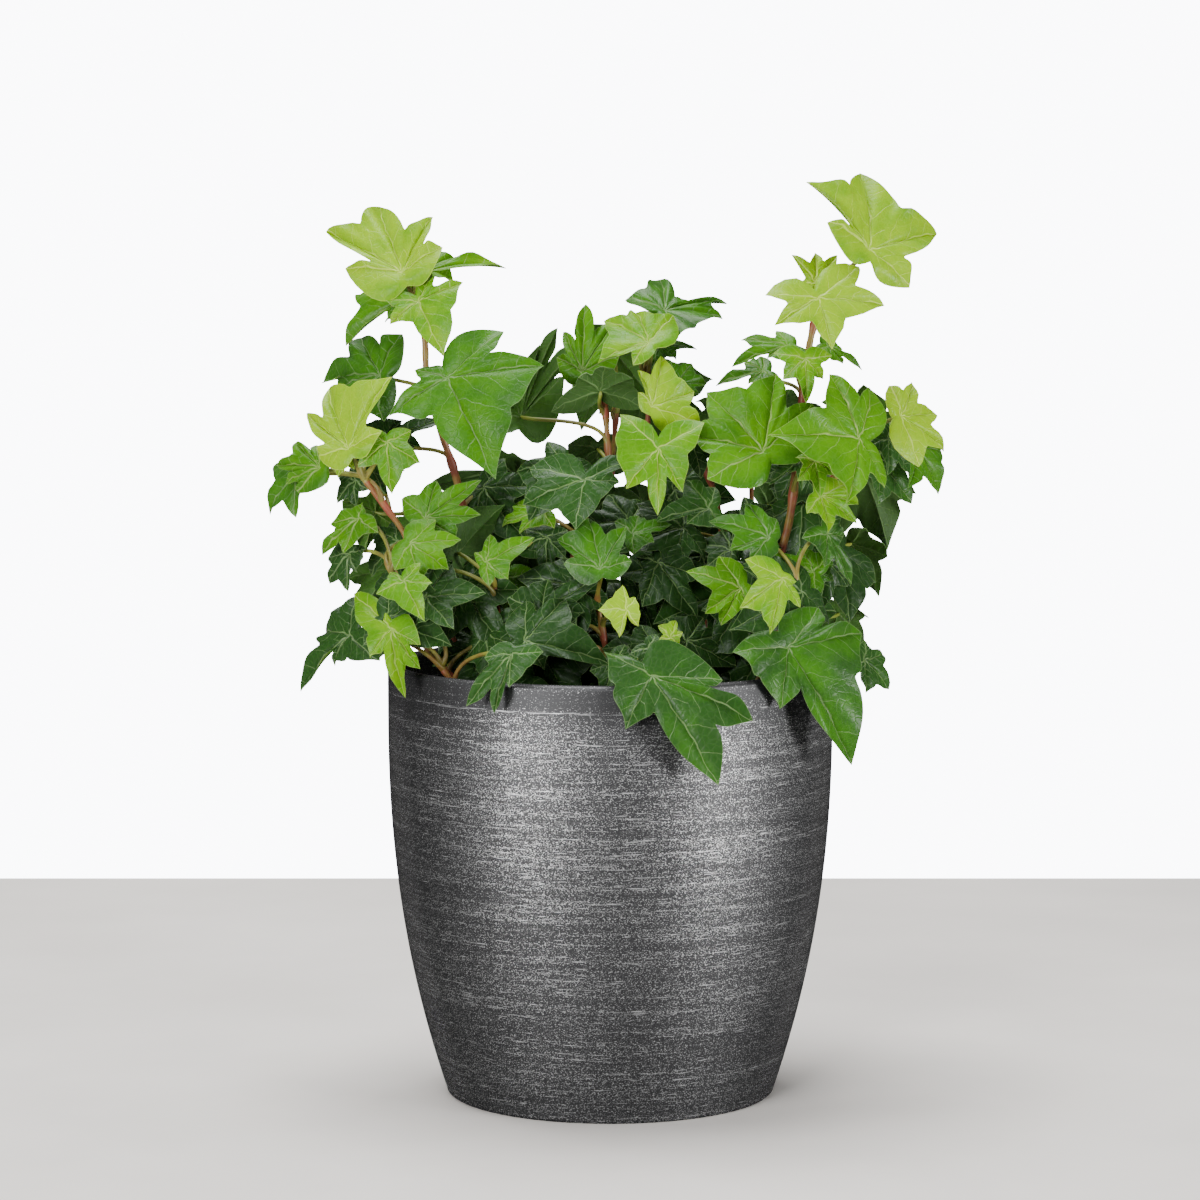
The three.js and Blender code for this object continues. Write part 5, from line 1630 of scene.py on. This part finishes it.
@dataclass(frozen=True)
class CoverPot:
    """The tapered cover pot: straight at the top, curving in to a flat foot, with a round thin lip."""

    node: str = "planter"
    height: float = 136.9
    rim_radius: float = 70.2
    foot_radius: float = 51.7
    shoulder: float = 120.0
    taper_power: float = 2.2
    wall: float = 4.0
    floor: float = 6.0
    lip: float = 1.4
    foot_edge: float = 1.2
    corner: float = 4.0
    step: float = 2.0
    around: int = 192

    def radius(self, height: Array) -> Array:
        """Outer radius: the rim's, less the whole taper times a power of the share below the shoulder."""
        share = np.maximum(0, 1 - height / self.shoulder)
        return self.rim_radius - (self.rim_radius - self.foot_radius) * share**self.taper_power

    def profile(self) -> Array:
        """Half profile from the axis under the foot, up the outside, over the lip and down the inside."""
        edge = self.foot_edge
        heights = np.arange(edge, self.height - self.lip, self.step)
        outside = np.stack([self.radius(heights), heights], axis=1)
        foot = arc((self.radius(edge) - edge, edge), (edge, edge), -90, 0, 5)[:-1]
        lip_centre = (self.rim_radius - self.wall / 2, self.height - self.lip)
        lip = arc(lip_centre, (self.wall / 2, self.lip), 0, 180, 13)
        down = np.arange(self.height - self.lip - self.step, self.floor + self.corner, -self.step)
        inside = np.stack([self.radius(down) - self.wall, down], axis=1)
        inner_foot = self.radius(self.floor) - self.wall - self.corner
        corner = arc((inner_foot, self.floor + self.corner), (self.corner, self.corner), 0, -90, 6)
        return np.vstack([[0, 0], foot, outside, lip, inside, corner, [0, self.floor]])

    def build(self, finish: Material) -> None:
        """Makes the pot in place of its node, in one finish."""
        piece = turned_surface(self.profile(), self.around).to_object("cover_pot")
        set_in_place(piece, finish, self.node)


@dataclass(frozen=True)
class GrowerPot:
    """The thin grower's pot: a slight taper, an outward rim with a rolled edge, and a flat floor with
    round drain holes."""

    node: str = "nursery_pot"
    rim_radius: float = 61.0
    foot_radius: float = 43.0
    top: float = 113.0
    ledge: float = 5.0
    wall: float = 1.2
    bottom: float = 6.3
    roll: float = 0.7
    drain_radius: float = 4.0
    drain_circle: float = 26.0
    drain_count: int = 4
    rim_inset: float = 1.5  # how far the wall's top lies inside the rim
    foot_edge: float = 0.6
    lip_edge: float = 0.4
    peg_height: float = 12.0
    around: int = 144
    peg_around: int = 24

    def radius(self, height: float) -> float:
        """Outer radius of the wall: in a straight line from the foot's to the rim's less an inset."""
        share = (height - self.bottom) / (self.top - self.bottom)
        return self.foot_radius + (self.rim_radius - self.rim_inset - self.foot_radius) * share

    def profile(self) -> Array:
        """Half profile from the axis under the floor, up the outside and down the inside."""
        low = self.top - self.ledge
        outer = self.rim_radius - self.roll
        rolls = [
            arc((outer, low + self.roll), (self.roll, self.roll), -90, 0, 5),
            arc((outer, self.top - self.roll), (self.roll, self.roll), 0, 90, 5),
        ]
        inner_top = self.radius(self.top) - self.wall
        inner_foot = self.foot_radius - self.wall
        floor = self.bottom + self.wall
        foot, edge, lip = self.foot_radius, self.foot_edge, self.lip_edge
        return np.vstack(
            [[0, self.bottom], [foot - edge, self.bottom], [foot, self.bottom + edge]]
            + [[self.radius(low), low], *rolls, [inner_top + lip, self.top], [inner_top, self.top - lip]]
            + [[inner_foot + edge / 2, floor + edge], [inner_foot - lip, floor], [0, floor]]
        )

    def build(self, finish: Material) -> None:
        """Makes the pot in place of its node, with its drain holes cut."""
        piece = turned_surface(self.profile(), self.around).to_object("grower_pot")
        self._drill(piece)
        set_in_place(piece, finish, self.node)

    def _drill(self, piece: bpy.types.Object) -> None:
        """Cuts round pegs, evenly spaced on the drain circle, out of the floor."""
        pegs = []
        radius, height = self.drain_radius, self.peg_height
        peg_profile = np.array([[0, 0], [radius, 0], [radius, height], [0, height]])
        for turn in np.arange(self.drain_count) * 2 * np.pi / self.drain_count:
            peg = turned_surface(peg_profile, self.peg_around)
            peg.points += self.drain_circle * np.array([math.cos(turn), math.sin(turn), 0.0])
            pegs.append(peg)
        cutter = Surface.joined(pegs).to_object("drain_pegs")
        cut = piece.modifiers.new("drains", "BOOLEAN")
        cut.object = cutter
        cut.operation = "DIFFERENCE"
        cut.solver = "EXACT"
        bpy.context.view_layer.update()
        graph = bpy.context.evaluated_depsgraph_get()
        drilled = bpy.data.meshes.new_from_object(piece.evaluated_get(graph))
        piece.modifiers.clear()
        piece.data = drilled
        bpy.data.objects.remove(cutter)


@dataclass(frozen=True)
class PottingSoil:
    """The peat: a low mound of crumbs round the stems, filling the grower's pot."""

    node: str = "soil"
    top: float = 108.0
    mound: float = 1.0
    bottom: float = 7.8
    foot_radius: float = 41.4
    edge_radius: float = 56.6
    unevenness: float = 0.9
    crumb_count: int = 420
    crumb_sizes: Span = (0.7, 2.1)
    crumb_rise: float = 0.3  # of a crumb's middle over the soil, as a share of its size
    wave_count: int = 6
    shortest: float = 6.0
    longest: float = 22.0
    calm_from: float = 0.8  # the share of the disc from which the waves fade
    edge_drop: float = 1.2
    rings: int = 34
    around: int = 120
    seed: int = 5

    def height(self, x: Array, y: Array) -> Array:
        """Top of the soil: a mound that falls with the square of the radius, plus seeded plane waves,
        flattened at the pot's wall."""
        numbers = np.random.default_rng(self.seed)
        share = (x**2 + y**2) / self.edge_radius**2
        turns = numbers.random(self.wave_count) * 2 * np.pi
        lengths = self.shortest + (self.longest - self.shortest) * numbers.random(self.wave_count)
        phases = numbers.random(self.wave_count) * 2 * np.pi
        waves = sum(
            np.sin(2 * np.pi * (x * np.cos(turn) + y * np.sin(turn)) / length + phase)
            for turn, length, phase in zip(turns, lengths, phases)
        )
        waves = self.unevenness * waves / 3 * (1 - smooth_step(self.calm_from, 1.0, share))
        return self.top + self.mound * (1 - share) + waves - self.edge_drop * share**4

    def build(self, finish: Material) -> None:
        """Makes the body of the soil and its loose crumbs in place of the node."""
        radii = np.linspace(self.edge_radius, 0, self.rings)
        side = [[0, self.bottom], [self.foot_radius, self.bottom]]
        top = np.stack([radii, np.full(self.rings, self.top)], axis=1)
        surface = turned_surface(np.vstack([side, top]), self.around)
        raised = surface.points[:, 2] > self.bottom + 1
        surface.points[raised, 2] = self.height(surface.points[raised, 0], surface.points[raised, 1])
        piece = Surface.joined([surface, self._crumbs()]).to_object("potting_soil", crease=35.0)
        set_in_place(piece, finish, self.node)

    def _crumbs(self) -> Surface:
        """Crumbs: icosahedra whose corners are drawn in or out, squashed, turned and strewn evenly over
        the disc, each sunk a little."""
        numbers = np.random.default_rng(self.seed + 1)
        corners, faces = icosahedron()
        count = self.crumb_count
        shapes = corners * (0.7 + 0.5 * numbers.random((count, len(corners), 1)))
        shapes = shapes * (0.55 + 0.6 * numbers.random((count, 1, 3)))
        turns, _ = np.linalg.qr(numbers.normal(size=(count, 3, 3)))
        turns *= np.sign(np.linalg.det(turns))[:, None, None]
        low, high = self.crumb_sizes
        sizes = low + (high - low) * numbers.random(count) ** 3
        shapes = np.einsum("nij,nkj->nki", turns, shapes) * sizes[:, None, None]
        reach = (self.edge_radius - 3) * np.sqrt(numbers.random(count))
        way = numbers.random(count) * 2 * np.pi
        x, y = reach * np.cos(way), reach * np.sin(way)
        places = np.stack([x, y, self.height(x, y) + self.crumb_rise * sizes], axis=1)
        points = (shapes + places[:, None]).reshape(-1, 3)
        triangles = (faces[None] + len(corners) * np.arange(count)[:, None, None]).reshape(-1, 3)
        return Surface(points, np.empty((0, 4), int), triangles)


def icosahedron() -> tuple[Array, Array]:
    """The twelve corners at zero, one and the golden ratio in turn, and the faces that join each three
    corners an edge apart, wound so that they point outwards."""
    golden = (1 + math.sqrt(5)) / 2
    signs = np.array([[a, b] for a in (-1, 1) for b in (-1, 1)], float)
    base = np.hstack([np.zeros((4, 1)), signs * [1, golden]])
    corners = unit(np.vstack([base, np.roll(base, 1, axis=1), np.roll(base, 2, axis=1)]))
    gaps = np.linalg.norm(corners[:, None] - corners[None], axis=2)
    joined = (gaps > 0.1) & (gaps < 1.1)
    faces = []
    for i, j, k in np.argwhere(joined[:, :, None] & joined[None] & joined[:, None]):
        if i < j < k:
            outwards = np.cross(corners[j] - corners[i], corners[k] - corners[i]) @ corners[i] > 0
            faces.append([i, j, k] if outwards else [i, k, j])
    return corners, np.array(faces)


# --- Stage ---


@dataclass(frozen=True)
class Studio:
    """The view and the light: the camera as fitted to the pot's rim and foot, a pale table top, and soft
    white light from the left, the right and above."""

    eye: tuple[float, float, float] = (0.0, -1.2051, 0.2705)
    pitch_down: float = 5.42
    lens: float = 115.16
    sensor: float = 36.0
    axis_offset: float = 10.3  # pixels that the pot's axis lies right of the middle
    frame_width: float = 1200.0
    table: tuple[float, float, float, float] = (-0.8, 0.8, -0.75, 0.40)
    table_colour: str = "#F9F4EE"
    mirrored_table: str = "#3C3C3C"
    aim: tuple[float, float, float] = (0.0, 0.0, 0.15)
    lamps: tuple[tuple[str, tuple[float, float, float], tuple[float, float], float], ...] = (
        ("key", (-0.4, -1.45, 1.05), (0.4, 0.4), 11.0),
        ("left_strip", (-0.95, -1.2, 0.27), (0.4, 0.5), 18.5),
        ("right_strip", (1.25, -0.82, 0.2), (0.4, 0.4), 19.5),
        ("top", (-0.1, 0.2, 1.5), (1.0, 0.9), 33.0),
    )  # each with its place, size and power
    seen_white: tuple[tuple[float, ...], float] = ((0.94, 0.95, 1.0, 1.0), 11.0)
    soft_white: tuple[tuple[float, ...], float] = ((0.98, 0.99, 1.0, 1.0), 0.15)

    def build(self) -> None:
        """Sets up the camera, the table top, the lamps and the surroundings."""
        self._camera()
        self._table()
        self._surroundings()
        for lamp in self.lamps:
            self._lamp(*lamp)

    def _camera(self) -> None:
        """A level camera pitched down towards the pot, shifted to put the axis where it is seen."""
        camera = bpy.data.cameras.new("view")
        camera.lens = self.lens
        camera.sensor_width = self.sensor
        camera.shift_x = -self.axis_offset / self.frame_width
        holder = stood("view", camera)
        holder.location = self.eye
        holder.rotation_euler = (math.radians(90 - self.pitch_down), 0.0, 0.0)
        bpy.context.scene.camera = holder

    def _table(self) -> None:
        """A flat top in a pale mineral grey, with faint cloudy mottling. It is mirrored darker than it is
        seen, as if black screens stood round the pot."""
        left, right, front, back = self.table
        mesh = bpy.data.meshes.new("table_top")
        corners = [(left, front, 0), (right, front, 0), (right, back, 0), (left, back, 0)]
        mesh.from_pydata(corners, [], [(0, 1, 2, 3)])
        floor = stood("table_top", mesh)
        material, add = new_finish("mineral_table_top")
        place = add("TexCoord").outputs["Object"]
        clouds = add("TexNoise", {"Vector": place, "Scale": 9.0, "Detail": 6.0})
        shade = add("MapRange", [clouds, 0.35, 0.65, 0.95, 1.05])
        colour = add("VectorMath MULTIPLY", [linear(self.table_colour)[:3], shade])
        mirrored = add("LightPath").outputs["Is Glossy Ray"]
        colour = add("Mix RGBA", {0: mirrored, 6: colour, 7: linear(self.mirrored_table)}).outputs[2]
        finish_with(add, {"Base Color": colour, "Roughness": 0.55})
        mesh.materials.append(material)

    def _surroundings(self) -> None:
        """White all round: bright where the camera looks past the table, softer as light."""
        world = bpy.data.worlds.new("studio")
        world.use_nodes = True
        world.node_tree.nodes.clear()
        add = partial(add_node, world.node_tree)
        seen = add("Background", self.seen_white)
        light = add("Background", self.soft_white)
        ray = add("LightPath").outputs["Is Camera Ray"]
        mixed = add("MixShader", [ray, light, seen])
        add("OutputWorld", [mixed])
        bpy.context.scene.world = world

    def _lamp(self, name: str, place: Sequence[float], size: Sequence[float], power: float) -> None:
        """A soft rectangular lamp that points at the middle of the plant.

        Args:
            name: The lamp's name.
            place: Where it stands, in metres.
            size: Its width and height.
            power: Its power in watts.
        """
        light = bpy.data.lights.new(name, "AREA")
        light.shape = "RECTANGLE"
        light.size, light.size_y = size
        light.energy = power
        holder = stood(name, light)
        towards = np.array(self.aim) - place
        flat = math.hypot(towards[0], towards[1])
        holder.location = place
        holder.rotation_euler = (math.atan2(flat, -towards[2]), 0.0, math.atan2(-towards[0], towards[1]))


# --- Assembly ---


def main() -> None:
    """Builds the studio, the pots, the soil and the leafy stems in order."""
    logging.basicConfig(level=logging.INFO, format="%(message)s")
    Studio().build()
    CoverPot().build(CharcoalGlaze().material())
    GrowerPot().build(BlackPlastic().material())
    PottingSoil().build(Peat().material())
    leaf_finish = IvyLeaf().material()
    bark_finish = IvyBark().material()
    plans = InnerLeaves().add_to([*STEM_PLANS, *FarLeaves().stems(FAR_PLANS)])
    for number, plan in enumerate(plans):
        LeafyStem(plan, seed=100 + number).build(leaf_finish, bark_finish)
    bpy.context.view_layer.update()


if __name__ == "__main__":
    main()
